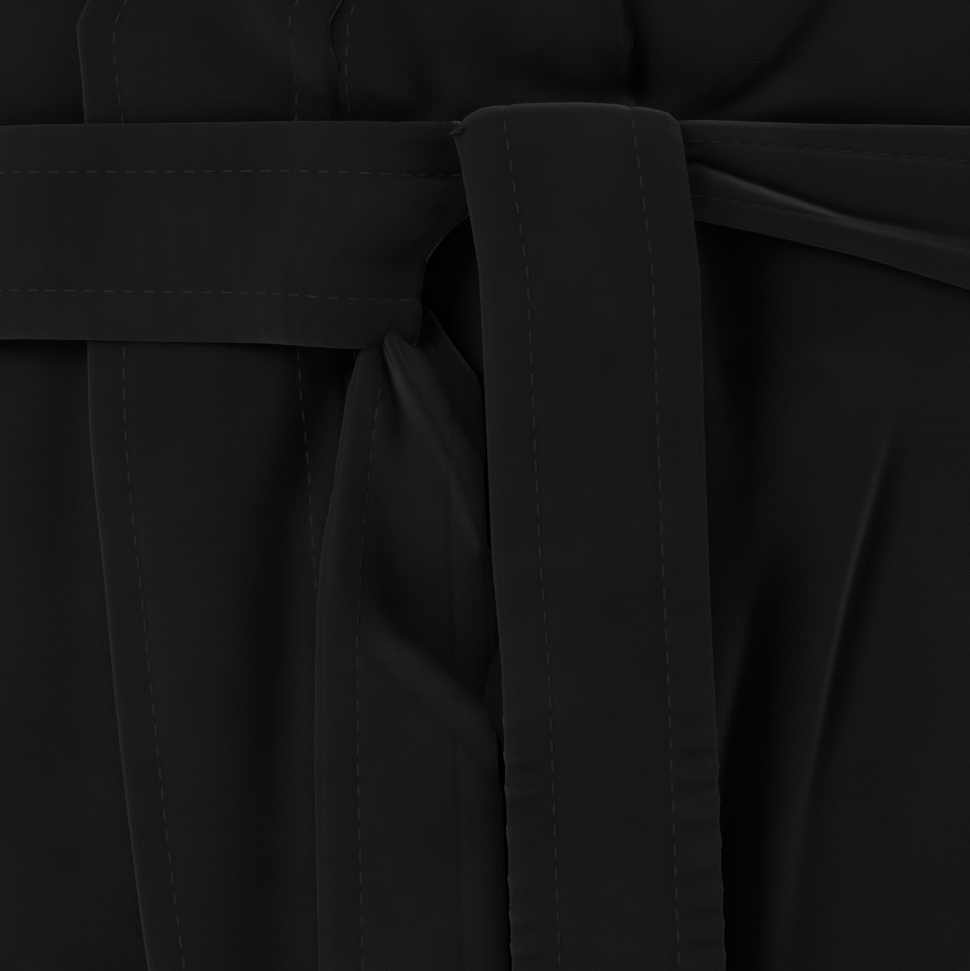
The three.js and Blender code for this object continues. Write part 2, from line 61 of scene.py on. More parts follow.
def box_mm(node):
    """A CAD node's lowest and highest corner, in millimetres."""
    low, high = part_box(node)
    return np.array(low) / MM, np.array(high) / MM


def foot_of(node):
    return box_mm(node)[0][2]


# ---- Sizes, from the CAD nodes where they give them
belt_low, belt_high = box_mm("belt_wrap")

CLOTH = 2.0  # the sewn cloth as it is drawn, seam allowance included
BAND = 4.0
BELT_THICK = 3.0
SEAM = 0.4
LAYER = 0.9
BELT_HALF = (belt_high[2] - belt_low[2]) / 2
HEM_Z = foot_of("back_panel")
SHOULDER_Z = box_mm("back_panel")[1][2]
ANKLE_Z = foot_of("left_leg_hem")
SHOULDER_SLOPE = 0.2
CHEST_Z = 240
WAIST = (168, 122)
HEM = (205, 126)
CHEST = (255, 140)
ARM_PLANE = 225
NECK = (72, 62)
COLLAR_WIDE = 45
COLLAR_LEAN = 8  # how far the standing band's top leans in over its seam
COLLAR_HIGH = COLLAR_WIDE - 3
COLLAR_SUNK = 4  # how far its seam goes down over the back panel's neck edge
LAPEL_WAIST = -73
LAPEL_HEM = -50
LAPEL_BEND = 40
OVERLAP_LIFT = 5.3
FALL = (15, 70)
STITCH = 4.0


# ---- Number helpers
def unit(vectors):
    return vectors / np.maximum(np.linalg.norm(vectors, axis=-1, keepdims=True), 1e-9)


def run_length(points):
    """Distance along a line to each of its points."""
    return np.append(0, np.cumsum(np.linalg.norm(np.diff(points, axis=0), axis=1)))


def smooth(x, low, high):
    t = np.clip((np.asarray(x, float) - low) / (high - low), 0, 1)
    return t * t * (3 - 2 * t)


def mix(a, b, t):
    return a + (b - a) * t


def spread(*runs):
    """Steps through (from, to, size) runs as one rising or falling list with no repeats."""
    parts = []
    for start, end, size in runs:
        count = max(1, round(abs(end - start) / size))
        parts.append(np.linspace(start, end, count + 1)[:-1])
    return np.append(np.concatenate(parts), runs[-1][1])


def table(x, *pairs):
    """A smooth-looking value through (x, value) pairs."""
    xs, values = zip(*pairs)
    return np.interp(x, xs, values)


def curve_through(points, count):
    """A Catmull-Rom curve through points, sampled at equal arc length."""
    p = np.array(points, float)
    p = np.vstack([2 * p[0] - p[1], p, 2 * p[-1] - p[-2]])
    dense = []
    for a, b, c, d in zip(p, p[1:], p[2:], p[3:]):
        t = np.linspace(0, 1, 24, endpoint=False)[:, None]
        dense.append(0.5 * (2 * b + (c - a) * t + (2 * a - 5 * b + 4 * c - d) * t**2
                            + (3 * b - a - 3 * c + d) * t**3))
    dense = np.vstack(dense + [p[-2][None]])
    length = run_length(dense)
    at = np.linspace(0, length[-1], count)
    return np.stack([np.interp(at, length, dense[:, k]) for k in range(dense.shape[1])], 1)


def waves(x, seed, count=7, low=1.0, high=6.0):
    """A sum of sines with fixed random phases, within about -1 to 1."""
    rng = np.random.default_rng(seed)
    total = np.zeros_like(np.asarray(x, float))
    for _ in range(count):
        total += np.sin(rng.uniform(low, high) * x + rng.uniform(0, TURN)) * rng.uniform(0.4, 1)
    return total / math.sqrt(count)


def line_field(x, z, points):
    """Height of a fold along a line of (x, z, height, width); a groove where the height is negative."""
    best = np.full(np.shape(x), 9.0)
    value = np.zeros(np.shape(x))
    for (x0, z0, h0, w0), (x1, z1, h1, w1) in zip(points, points[1:]):
        dx, dz = x1 - x0, z1 - z0
        t = np.clip(((x - x0) * dx + (z - z0) * dz) / (dx * dx + dz * dz), 0, 1)
        away = np.hypot(x - x0 - t * dx, z - z0 - t * dz) / mix(w0, w1, t)
        closer = away < best
        value = np.where(closer, mix(h0, h1, t) * np.exp(-away**2), value)
        best = np.where(closer, away, best)
    return value


# ---- Grids and meshes
def grid_normals(grid, wrap=False):
    """Unit normals of a (rows, columns, 3) grid."""
    padded = np.concatenate([grid[:, -1:], grid, grid[:, :1]], 1) if wrap else grid
    across = np.gradient(padded, axis=1)
    if wrap:
        across = across[:, 1:-1]
    along = np.gradient(grid, axis=0)
    return unit(np.cross(across, along))


def facing_out(grid):
    """Normals of a grid, turned to point away from the wearer's upright axis."""
    normals = grid_normals(grid)
    return normals * np.sign((normals * (grid * [1, 1, 0])).sum())


def tube_normals(grid, centre):
    """Normals of a tube, turned away from the middle of each of its rings."""
    normals = grid_normals(grid, wrap=True)
    return normals * np.sign((normals * (grid - centre)).sum())


def arc_lengths(grid, axis):
    """Distance along the middle row or column of a grid."""
    middle = grid[len(grid) // 2] if axis == 1 else grid[:, grid.shape[1] // 2]
    return run_length(middle)


class Piece:
    """Gathers vertices, faces, UVs and material numbers of one mesh."""

    def __init__(self):
        self.verts, self.faces, self.uvs, self.slots = [], [], [], []
        self.count = 0

    def add(self, verts, faces, uvs, slot=0):
        self.verts.append(verts)
        self.uvs.append(uvs)
        self.faces.append(np.asarray(faces) + self.count)
        self.slots.append(np.full(len(faces), slot))
        self.count += len(verts)

    def sheet(self, outer, thick, normals, wrap=False, round_ends=(True, True), slot=0):
        """A closed sheet with rounded borders. Its inner skin lies `thick` inside the outer grid."""
        rows, columns = outer.shape[:2]
        inner = outer - normals * np.asarray(thick)[..., None]
        if wrap:
            rims = [[(0, c) for c in range(columns)], [(rows - 1, c) for c in range(columns)]]
            rounds = round_ends
        else:
            rims = [[(0, c) for c in range(columns - 1)] + [(r, columns - 1) for r in range(rows - 1)]
                    + [(rows - 1, c) for c in range(columns - 1, 0, -1)]
                    + [(r, 0) for r in range(rows - 1, 0, -1)]]
            rounds = (True,)
        flat = rows * columns
        numbers = np.arange(flat).reshape(rows, columns)
        wide = numbers if not wrap else np.concatenate([numbers, numbers[:, :1]], 1)
        a, b, c, d = wide[:-1, :-1], wide[:-1, 1:], wide[1:, 1:], wide[1:, :-1]
        quads = np.stack([a, b, c, d], -1).reshape(-1, 4)
        faces = [quads, quads[:, ::-1] + flat]
        u = arc_lengths(outer, 1)
        v = arc_lengths(outer, 0)
        uv = np.stack(np.meshgrid(u, v), -1)
        verts = [outer.reshape(-1, 3), inner.reshape(-1, 3)]
        uvs = [uv.reshape(-1, 2), uv.reshape(-1, 2)]
        start = 2 * flat
        middle = (outer + inner) / 2
        half = np.linalg.norm(outer - inner, axis=2) / 2
        for rim, rounded in zip(rims, rounds):
            r, c = np.array(rim).T
            if wrap:
                inside = middle[np.where(r == 0, 1, rows - 2), c]
            else:
                inside = middle[np.clip(r, 1, rows - 2), np.clip(c, 1, columns - 2)]
            out = unit(middle[r, c] - inside)
            verts.append(middle[r, c] + out * (half[r, c] * (0.85 if rounded else 0))[:, None])
            uvs.append(uv[r, c])
            ring = np.arange(len(rim)) + start
            edge = numbers[r, c]
            following = np.roll(np.arange(len(rim)), -1)
            first = np.stack([edge[following], edge, ring, ring[following]], -1)
            second = np.stack([ring[following], ring, edge + flat, edge[following] + flat], -1)
            if wrap and rim[0][0] != 0:
                first, second = first[:, ::-1], second[:, ::-1]
            faces += [first, second]
            start += len(rim)
        verts, faces = np.vstack(verts), np.vstack(faces)
        p = verts[faces]
        volume = (np.cross(p[:, 0], p[:, 1]) * p[:, 2]).sum() + (np.cross(p[:, 0], p[:, 2]) * p[:, 3]).sum()
        if volume < 0:
            faces = faces[:, ::-1]
        self.add(verts, faces, np.vstack(uvs), slot)

    def stitches(self, points, normals, pitch=STITCH, length=2.7, wide=0.5, high=0.34, slot=1):
        """Short rounded threads laid end to end along a line on a surface."""
        steps = run_length(points)
        count = int(steps[-1] // pitch)
        if count < 1:
            return
        at = (np.arange(count) + 0.5) * steps[-1] / count

        def sample(where, values):
            return np.stack([np.interp(where, steps, values[:, k]) for k in range(3)], 1)

        centre = sample(at, points)
        along = unit(sample(at + length / 2, points) - sample(at - length / 2, points))
        up = sample(at, normals)
        side = unit(np.cross(up, along))
        rings, sectors = np.linspace(-1, 1, 7)[1:-1], np.arange(6) * TURN / 6
        fat = np.sqrt(1 - np.abs(rings)**3)
        skin = [(t, f * math.cos(a), f * math.sin(a)) for t, f in zip(rings, fat) for a in sectors]
        shape = np.array([(-1, 0, 0), *skin, (1, 0, 0)])
        size = np.array([length / 2, wide / 2, high / 2])
        local = shape * size
        verts = (centre[:, None] + local[None, :, :1] * along[:, None] + local[None, :, 1:2] * side[:, None]
                 + local[None, :, 2:] * up[:, None]).reshape(-1, 3)
        faces = []
        for ring in range(4):
            for k in range(6):
                a, b = 1 + ring * 6 + k, 1 + ring * 6 + (k + 1) % 6
                faces.append((a, b, b + 6, a + 6))
        for k in range(6):
            faces.append((0, 1 + (k + 1) % 6, 1 + k, 1 + k))
            faces.append((31, 25 + k, 25 + (k + 1) % 6, 25 + (k + 1) % 6))
        faces = np.array(faces)
        each = len(shape)
        faces = (faces[None] + (np.arange(count) * each)[:, None, None]).reshape(-1, 4)
        uvs = np.tile(np.stack([shape[:, 0] * length / 2, shape[:, 1] * wide / 2], 1), (count, 1))
        self.add(verts, faces, uvs, slot)

    def make(self, name, materials):
        verts = np.vstack(self.verts) * MM
        faces = np.vstack(self.faces)
        uvs = np.vstack(self.uvs) * MM
        slots = np.concatenate(self.slots)
        polygons = [list(dict.fromkeys(face)) for face in faces.tolist()]
        mesh = bpy.data.meshes.new(name)
        mesh.from_pydata(verts.tolist(), [], polygons)
        mesh.polygons.foreach_set("material_index", slots.astype(np.int32))
        mesh.polygons.foreach_set("use_smooth", np.ones(len(polygons), bool))
        layer = mesh.uv_layers.new(name="UVMap")
        corners = np.zeros(len(mesh.loops), np.int32)
        mesh.loops.foreach_get("vertex_index", corners)
        layer.data.foreach_set("uv", uvs[corners].astype(np.float32).ravel())
        mesh.set_sharp_from_angle(angle=math.radians(72))
        mesh.update()
        mesh.validate()
        for material in materials:
            mesh.materials.append(material)
        obj = bpy.data.objects.new(name, mesh)
        bpy.context.collection.objects.link(obj)
        return obj


def place(obj, nodes, body="torso", bend=None):
    """Hides its CAD nodes and hangs a finished piece on its body; a piece given a bend is left unparented,
    with its transform baked into its mesh.
    """
    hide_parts(*nodes)
    if bend:
        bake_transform(obj)
    else:
        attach(obj, body)
    return obj


def cut_sheet(grid, normals, thick, wrap=False, round_ends=(True, True)):
    """A new piece that holds one closed sheet of even thickness."""
    piece = Piece()
    piece.sheet(grid, np.full(grid.shape[:2], thick), normals, wrap, round_ends)
    return piece


def finish(piece, name, nodes, kind, body="torso", bend=None):
    """Makes a piece's mesh with its cloth and thread materials, and puts it in place of its CAD nodes."""
    obj = place(piece.make(name, [CLOTHS[kind], THREAD]), nodes, body, bend)


# ---- Materials
def node(tree, kind, links=None, **inputs):
    """A shader node with its values set and its inputs linked. An underscore in a name stands for a space."""
    made = tree.nodes.new(kind)
    for key, value in inputs.items():
        made.inputs[key.replace("_", " ")].default_value = value
    for key, source in (links or {}).items():
        tree.links.new(source, made.inputs[key])
    return made


def colour_mix(tree, blend, links, **inputs):
    made = tree.nodes.new("ShaderNodeMix")
    made.data_type = "RGBA"
    made.blend_type = blend
    for key, value in inputs.items():
        made.inputs[key].default_value = value
    for key, source in links.items():
        tree.links.new(source, made.inputs[key])
    return made.outputs["Result"]


def dye_ramp(tree, source, colour, dark, light, positions=(0, 1)):
    """The dye's colour, from dark to light times itself as the source rises."""
    ramp = node(tree, "ShaderNodeValToRGB", {"Fac": source})
    for element, share, position in zip(ramp.color_ramp.elements, (dark, light), positions):
        element.position = position
        element.color = (*[c * share for c in colour], 1)
    return ramp.outputs["Color"]


def new_material(name, **inputs):
    """A material, its node tree and its shader, with values that are the same all over set on the shader."""
    material = bpy.data.materials.new(name)
    material.use_nodes = True
    shader = material.node_tree.nodes["Principled BSDF"]
    for key, value in inputs.items():
        shader.inputs[key.replace("_", " ")].default_value = value
    return material, material.node_tree, shader


def cloth_material(name, colour, thread, twill, relief):
    """Woven cotton: crossed threads in the relief, soft patches in the dye, painted shade in its creases, and
    a lint-like sheen.
    """
    material, tree, shader = new_material(
        name, Sheen_Weight=0.1, Sheen_Roughness=0.45, Sheen_Tint=(0.86, 0.8, 0.9, 1), Specular_IOR_Level=0.07)
    uv = tree.nodes.new("ShaderNodeUVMap")
    uv.uv_map = "UVMap"
    turned = node(tree, "ShaderNodeMapping", {"Vector": uv.outputs["UV"]}, Rotation=(0, 0, twill))
    weave = tree.nodes.new("ShaderNodeMath")
    weave.operation = "MULTIPLY"
    for slot, direction in enumerate(("X", "Y")):
        threads = node(tree, "ShaderNodeTexWave", {"Vector": turned.outputs["Vector"]},
                       Scale=0.314 / (thread * MM), Distortion=0.6, Detail=1.5, Detail_Scale=1.4)
        threads.bands_direction = direction
        tree.links.new(threads.outputs["Fac"], weave.inputs[slot])
    weave = weave.outputs["Value"]
    place_at = {"Vector": tree.nodes.new("ShaderNodeTexCoord").outputs["Object"]}
    patches = node(tree, "ShaderNodeTexNoise", place_at, Scale=38.0, Detail=5.0, Roughness=0.6).outputs["Fac"]
    lint = node(tree, "ShaderNodeTexNoise", place_at, Scale=900.0, Detail=3.0, Roughness=0.7).outputs["Fac"]
    dye_and_shade = dye_ramp(tree, patches, colour, 0.72, 1.3, (0.3, 0.72))
    dye_and_shade = colour_mix(tree, "MULTIPLY", {"A": dye_and_shade, "B": weave}, Factor=0.5)
    # Painted shade: an occlusion node darkens the dye in creases, hollows and folds, where shade falls. The
    # sharp edges that catch light and rubbing are faded a little, as wear.
    hollow = node(tree, "ShaderNodeAmbientOcclusion", Distance=30 * MM)
    hollow.samples = 6
    painted_crease_shade = node(tree, "ShaderNodeMapRange", {"Value": hollow.outputs["AO"]},
                From_Min=0.22, From_Max=0.86, To_Min=0.04, To_Max=1.0)
    # Painted shade: the dye scaled down by the occlusion, darkest in creases and under folds.
    deep = tree.nodes.new("ShaderNodeVectorMath")
    deep.operation = "SCALE"
    tree.links.new(dye_and_shade, deep.inputs["Vector"])
    tree.links.new(painted_crease_shade.outputs["Result"], deep.inputs["Scale"])
    edges = tree.nodes.new("ShaderNodeNewGeometry").outputs["Pointiness"]
    wear = node(tree, "ShaderNodeMapRange", {"Value": edges}, From_Min=0.5, From_Max=0.62, To_Max=0.05)
    dye_and_shade = colour_mix(tree, "MIX", {"Factor": wear.outputs["Result"], "A": deep.outputs["Vector"]},
                     B=(*[c * 1.7 for c in colour], 1))
    rough = node(tree, "ShaderNodeMapRange", {"Value": lint}, To_Min=0.78, To_Max=0.98)
    fuzz = node(tree, "ShaderNodeBump", {"Height": lint}, Strength=0.25, Distance=0.12 * MM)
    bump = node(tree, "ShaderNodeBump", {"Height": weave, "Normal": fuzz.outputs["Normal"]},
                Strength=0.5, Distance=relief * MM)
    tree.links.new(dye_and_shade, shader.inputs["Base Color"])
    tree.links.new(rough.outputs["Result"], shader.inputs["Roughness"])
    tree.links.new(bump.outputs["Normal"], shader.inputs["Normal"])
    return material


def thread_material(name, colour):
    """Twisted sewing thread, a little glossier than the cloth."""
    material, tree, shader = new_material(name, Specular_IOR_Level=0.12, Sheen_Weight=0.06)
    uv = tree.nodes.new("ShaderNodeUVMap")
    uv.uv_map = "UVMap"
    twist = node(tree, "ShaderNodeMapping", {"Vector": uv.outputs["UV"]}, Rotation=(0, 0, 0.9))
    ply = node(tree, "ShaderNodeTexWave", {"Vector": twist.outputs["Vector"]}, Scale=700.0).outputs["Fac"]
    rough = node(tree, "ShaderNodeMapRange", {"Value": ply}, To_Min=0.5, To_Max=0.68)
    bump = node(tree, "ShaderNodeBump", {"Height": ply}, Strength=0.6, Distance=0.08 * MM)
    tree.links.new(dye_ramp(tree, ply, colour, 0.75, 1.25), shader.inputs["Base Color"])
    tree.links.new(rough.outputs["Result"], shader.inputs["Roughness"])
    tree.links.new(bump.outputs["Normal"], shader.inputs["Normal"])
    return material


BLACK = (0.0079, 0.0063, 0.0084)
CLOTHS = {
    "cloth": cloth_material("uniform_cloth", BLACK, thread=0.6, twill=0, relief=0.2),
    "belt": cloth_material("belt_cloth", (0.0087, 0.0073, 0.0091), thread=0.5, twill=0.6, relief=0.16),
    "facing": cloth_material("facing_cloth", BLACK, thread=0.6, twill=0, relief=0.2),
    "tape": cloth_material("tie_tape", (0.0085, 0.0075, 0.009), thread=0.9, twill=0.78, relief=0.25),
}
THREAD = thread_material("sewing_thread", (0.0078, 0.0069, 0.0082))


# ---- The jacket's shape
def half_size(key, z):
    below = mix(HEM[key], WAIST[key], smooth(z, HEM_Z, -25))
    above = mix(WAIST[key], CHEST[key], smooth(z, 25, CHEST_Z))
    return np.where(z < 0, below, above)


def half_depth(z):
    share = np.clip((z - CHEST_Z) / (SHOULDER_Z - CHEST_Z), 0, 1)
    return np.where(z <= CHEST_Z, half_size(1, z), CHEST[1] * np.sqrt(1 - share**2))


def jacket_points(angle, z, shift=0.0, neck=False):
    """Points of the jacket's cloth. The angle is 0 at the front and a right angle at +X."""
    x = half_size(0, z) * np.sin(angle)
    y = -half_depth(z) * np.cos(angle)
    if neck:
        across = np.clip(1 - (x / NECK[0])**2, 0, 1)
        opening = NECK[1] * np.sqrt(across) * smooth(z, CHEST_Z + 60, SHOULDER_Z)
        y = np.where(y < 0, -1, 1) * np.hypot(y, opening)
    height = z - SHOULDER_SLOPE * np.abs(x) * smooth(z, CHEST_Z, SHOULDER_Z)
    return np.stack([x, y + shift, height], -1)


def angle_of(x, z):
    return np.arcsin(np.clip(x / half_size(0, z), -1, 1))


def lapel_edge(z):
    below = mix(LAPEL_HEM, LAPEL_WAIST, smooth(z, HEM_Z, 0))
    share = np.clip((z - LAPEL_BEND) / (SHOULDER_Z - LAPEL_BEND), 0, 1)
    above = mix(LAPEL_WAIST, NECK[0] - COLLAR_WIDE, share**0.9)
    return np.where(z < 0, below, above)


def upper_lift(x, z):
    return OVERLAP_LIFT * (1 - smooth(x + lapel_edge(z), *FALL))


# ---- The jacket's folds
FRONT_FOLDS = (
    # Above the belt: gathers that run down into the knot, with hollows between them.
    ((-90, 120, 0.5, 14), (-58, 72, 3.0, 9), (-36, 43, 4.4, 6.5), (-28, 32, 4.2, 5.0), (-17, 23, 3.0, 3.6)),
    ((-110, 60, 1.0, 12), (-68, 36, 2.4, 8), (-42, 24, 1.6, 5)),
    ((-52, 50, -1.6, 7), (-44, 34, -2.4, 6), (-31, 23, -2.0, 4)),
    ((-18, 50, -2.6, 4.5), (-11, 32, -3.6, 3.4), (-9.5, 20, -4.6, 2.6)),
    ((2, 44, -1.0, 6), (6, 30, -4.4, 6), (16, 27, -6.4, 5.4), (27, 27, -5.4, 4.6), (36, 29, -2.0, 5)),
    ((8, 140, 0.5, 14), (16, 80, 2.8, 9), (20, 46, 4.2, 6), (21, 30, 3.0, 4.8)),
    ((21, 90, -1.0, 5), (25.5, 50, -5.6, 3.4), (28.5, 34, -6.0, 2.8), (30, 22, -4.6, 2.4)),
    ((58, 110, 0.4, 14), (46, 60, 2.0, 9), (40, 32, 2.4, 6)),
    ((76, 62, -3.0, 7), (64, 43, -5.6, 5), (55, 32, -5.4, 4), (42, 21, -4.2, 3)),
    ((150, 80, 0.4, 16), (100, 44, 3.0, 9), (68, 29, 4.0, 5.5), (50, 21, 2.0, 4)),
    # Below the belt, on the left.
    ((-22, -20, -4.0, 3.5), (-28, -27, -6.0, 5), (-36, -54, -7.0, 5.5), (-39, -100, -6.6, 6),
     (-38, -150, -4.2, 8), (-34, -230, -1.0, 12)),
    ((-48, -22, 1.2, 5), (-53, -60, 2.4, 9), (-52, -110, 2.2, 9), (-48, -180, 1.0, 10)),
    ((-79, -22, -1.6, 4), (-80, -60, -2.6, 6), (-76, -120, -1.6, 8)),
    # Below the belt, on the right.
    ((44, -2, -4.4, 5), (47, -20, -4.4, 5), (47, -50, -3.0, 5.5), (49, -72, -1.6, 5)),
    ((60, -42, -1.0, 4), (53.5, -74.6, -8.0, 5.4), (49, -96.7, -11.5, 6.0), (44.5, -125, -11.5, 6.6),
     (40, -180, -4, 9)),
    ((57, -18, 2.6, 7), (61, -34, 4.0, 8), (62, -52, 3.2, 6.5), (60, -70, 1.4, 4.5)),
    ((74, -30, 0.8, 4), (69.0, -47, 2.8, 4), (64.4, -66, 4.2, 4), (60.0, -87, 4.6, 4), (56.4, -107, 4.0, 4.2),
     (49, -150, 1.6, 5)),
    ((79, -30, -0.8, 3.4), (74.2, -47, -3.0, 3.4), (69.8, -66, -3.8, 3.4), (65.6, -87, -3.8, 3.4),
     (62, -107, -3.0, 3.6), (56, -150, -1.2, 4.6)),
    ((86, -30, 1.2, 7), (80, -70, 2.4, 9), (74, -115, 2.4, 10), (70, -180, 1.0, 12)),
)


KNOT_HOLLOWS = (
    ((-8, 0, -7, 8), (-7, -28, -8, 8)),
    ((44, 2, -8, 7), (46, -12, -8, 6.5), (47, -34, -2, 6)),
    ((-14, -46, -4, 9), (-11, -64, -9, 11), (-8, -84, -8, 11), (-8, -108, -1, 9)),
)


def front_folds(x, z):
    return sum(line_field(x, z, points) for points in FRONT_FOLDS)


def body_folds(points):
    """How far the jacket's cloth stands off its smooth shape, for points of that shape."""
    x, y, z = points[..., 0], points[..., 1], points[..., 2]
    angle = np.arctan2(x, -y)
    away = np.abs(z)
    front = (1 - smooth(np.abs(x), 92, 132)) * (y < 0)
    # Gathers all round, strongest beside the belt.
    reach = np.where(z > 0, 95, 80)
    gathers = waves(angle * 6 + 0.004 * z, 5, 9, 1.6, 5.5)
    gathers = gathers + 0.5 * waves(angle * 15 + 0.01 * z, 8, 5, 1.0, 3.0)
    drape = waves(angle * 3 + 0.002 * z, 11, 5, 1.0, 2.6) * smooth(-z, 30, 200)
    around = 5.2 * gathers * np.exp(-(away / reach)**2) + 5.6 * drape
    blouse = 7.0 * np.exp(-((away - 46) / 26)**2)
    # Pulls from the armpits towards the belt, and across the shoulder blades.
    side = np.abs(x)
    pulls = 5.4 * np.sin(0.05 * (side + 0.55 * z) + 0.6 * waves(0.02 * z, 21)) * smooth(z, 40, 130)
    pulls = pulls * (1 - smooth(z, 250, 340)) * smooth(side, 60, 150)
    chest = 4.2 * waves(0.016 * x + 0.009 * z, 31, 6, 1.0, 3.0)
    chest = chest * smooth(z, 60, 160) * (1 - smooth(z, 330, 420))
    general = around + blouse + pulls + chest
    near = front_folds(x, z) + 2.2 * np.exp(-((away - 40) / 20)**2)
    near = near + 0.5 * waves(0.09 * x + 0.03 * z, 44, 5, 1.0, 2.6) + general * smooth(away, 110, 190) * 0.8
    folds = mix(general, near, front)
    # The belt holds the cloth flat, and the shoulder seams and armholes keep their line.
    held = smooth(away, BELT_HALF - 2, BELT_HALF + 6)
    hollow = sum(line_field(x, z, points) for points in KNOT_HOLLOWS) * (y < 0)
    return folds * held * (1 - smooth(z, 385, 430)) + hollow


def jacket_grid(grid, lift=0.0):
    """The grid raised along its normals by the lift and the jacket's folds, with the normals it then has."""
    raised = grid + facing_out(grid) * (lift + body_folds(grid))[..., None]
    return raised, facing_out(raised)


def inset_rows(piece, grid, normals, edges, inset):
    """Stitches along chosen borders of a sheet, a set distance in. Edges: left, right, first, last."""
    u, v = arc_lengths(grid, 1), arc_lengths(grid, 0)
    rows, columns = grid.shape[:2]
    for edge in edges:
        if edge in ("left", "right"):
            at = inset if edge == "left" else u[-1] - inset
            column = np.interp(at, u, np.arange(columns))
            r = np.arange(rows)
            c = np.full(rows, column)
        else:
            at = inset if edge == "first" else v[-1] - inset
            row = np.interp(at, v, np.arange(rows))
            c = np.arange(columns)
            r = np.full(columns, row)
        piece.stitches(lookup(grid, r, c), lookup(normals, r, c))


def lookup(grid, r, c):
    """Values of a grid between its rows and columns."""
    r0 = np.clip(np.floor(r).astype(int), 0, grid.shape[0] - 2)
    c0 = np.clip(np.floor(c).astype(int), 0, grid.shape[1] - 2)
    fr, fc = (r - r0)[:, None], (c - c0)[:, None]
    top = mix(grid[r0, c0], grid[r0, c0 + 1], fc)
    foot = mix(grid[r0 + 1, c0], grid[r0 + 1, c0 + 1], fc)
    return mix(top, foot, fr)


def seam_groove(grid, inset, depth=0.35, wide=1.0, sides=("left", "right")):
    """A shallow dip under a row of stitches along the left or right border."""
    u = arc_lengths(grid, 1)
    dip = np.zeros(len(u))
    if "left" in sides:
        dip += np.exp(-((u - inset) / wide)**2)
    if "right" in sides:
        dip += np.exp(-((u[-1] - u - inset) / wide)**2)
    return -depth * dip[None, :]


FINE_Z = spread((HEM_Z, -150, 4), (-150, 52, 1.5), (52, CHEST_Z, 4))
DOME_Z = CHEST_Z + (SHOULDER_Z - CHEST_Z) * np.sin(np.linspace(0, math.pi / 2, 46))[1:]
BODY_Z = np.append(FINE_Z, DOME_Z)


def side_angle(z):
    return np.arcsin(np.minimum(1, ARM_PLANE / half_size(0, z)))


SIDE_STITCH = 3  # how far a row of stitches lies inside the border it follows
HEM_STITCH = 22


def finish_panel(name, cad_node, grid, lift=0.0):
    """Folds a panel of the jacket, stitches its sides and hem, and puts it in place."""
    grid, normals = jacket_grid(grid, lift)
    piece = cut_sheet(grid, normals, CLOTH)
    inset_rows(piece, grid, normals, ("left", "right"), SIDE_STITCH)
    inset_rows(piece, grid, normals, ("first",), HEM_STITCH)
    finish(piece, name, [cad_node], "cloth")


def make_back():
    z = np.append(spread((HEM_Z, CHEST_Z, 4.5)), DOME_Z)[:, None]
    side = side_angle(z)
    u = np.linspace(0, 1, 150)[None, :]
    grid = jacket_points(mix(math.pi - side, math.pi + side, u), z + 0 * u, SEAM / 2, neck=True)
    finish_panel("jacket_back", "back_panel", grid)


def make_front(name, side, over):
    z = BODY_Z[:, None]
    start = lapel_edge(z) + COLLAR_WIDE + SEAM / 2
    u = np.concatenate([np.linspace(0, 0.52, 96)[:-1], np.linspace(0.52, 1, 40)])[None, :]
    angle = mix(angle_of(start, z), side_angle(z), u)
    grid = jacket_points(angle, z + 0 * u, -SEAM / 2)
    lift = upper_lift(grid[..., 0], z) if over else 0.0
    grid[..., 0] *= side
    finish_panel(f"jacket_{name}", name, grid, lift)


def collar_flat(u, z):
    """The collar band's points at heights z, across from its seam (u 0) to its free edge (u 1)."""
    seam = lapel_edge(z) + COLLAR_WIDE - SEAM / 2
    flat = jacket_points(angle_of(mix(seam, lapel_edge(z), u), z), z, -SEAM / 2)
    root = jacket_points(angle_of(seam + 0 * u, z), z + 0 * u, -SEAM / 2)
    stand = root + np.array([-COLLAR_LEAN, -COLLAR_LEAN, COLLAR_HIGH]) * u[..., None]
    return mix(flat, stand, smooth(z, SHOULDER_Z * 0.72, SHOULDER_Z)[..., None])


def make_collar(name, side, over):
    u = np.linspace(0, 1, 42)[None, :]
    z = BODY_Z[:, None] + 0 * u
    front = collar_flat(u + 0 * z, z)
    start = front[-1, 0]
    turn = np.linspace(0, math.pi / 2, 40)[1:, None]
    rise = SHOULDER_SLOPE * NECK[0] * (1 - np.cos(turn))
    foot = np.stack([start[0] * np.cos(turn) + SEAM / 2 * np.sin(turn),
                     start[1] + (NECK[1] + 4.8) * np.sin(turn),
                     start[2] + rise - COLLAR_SUNK * np.sin(turn)], -1)
    lean = np.stack([-COLLAR_LEAN * np.cos(turn), -COLLAR_LEAN + 0 * turn, COLLAR_HIGH + 0 * turn], -1)
    neck = foot + lean * u[..., None]
    grid = np.concatenate([front, neck])
    lift = np.zeros(grid.shape[:2]) + BAND - CLOTH
    if over:
        rows = len(BODY_Z)
        lift[:rows] += upper_lift(lapel_edge(z), z) * (1 - smooth(z, 330, SHOULDER_Z))
    # The band is several plies, so it is a little proud between its rows of stitching.
    lift = lift + seam_groove(grid, 7, 0.5, 1.2) + 0.25 * np.sin(math.pi * u)
    grid[..., 0] *= side
    grid, normals = jacket_grid(grid, lift)
    piece = cut_sheet(grid, normals, BAND)
    inset_rows(piece, grid, normals, ("left", "right"), 7)
    front = f"jacket_{'left' if over else 'right'}_front"
    finish(piece, f"jacket_{name}", [name], "facing")


def make_vent(name, side):
    low, high = box_mm(name)
    z = np.linspace(low[2], high[2], 12)[:, None]
    u = np.linspace(-1, 1, 12)[None, :]
    angle = side * (math.pi / 2 + u * 14 / half_depth(z))
    grid, normals = jacket_grid(jacket_points(angle, z + 0 * u), lift=2.2)
    piece = cut_sheet(grid, normals, 1.2)
    inset_rows(piece, grid, normals, ("left", "right", "first", "last"), 2.5)
    finish(piece, f"jacket_{name}", [name], "facing")


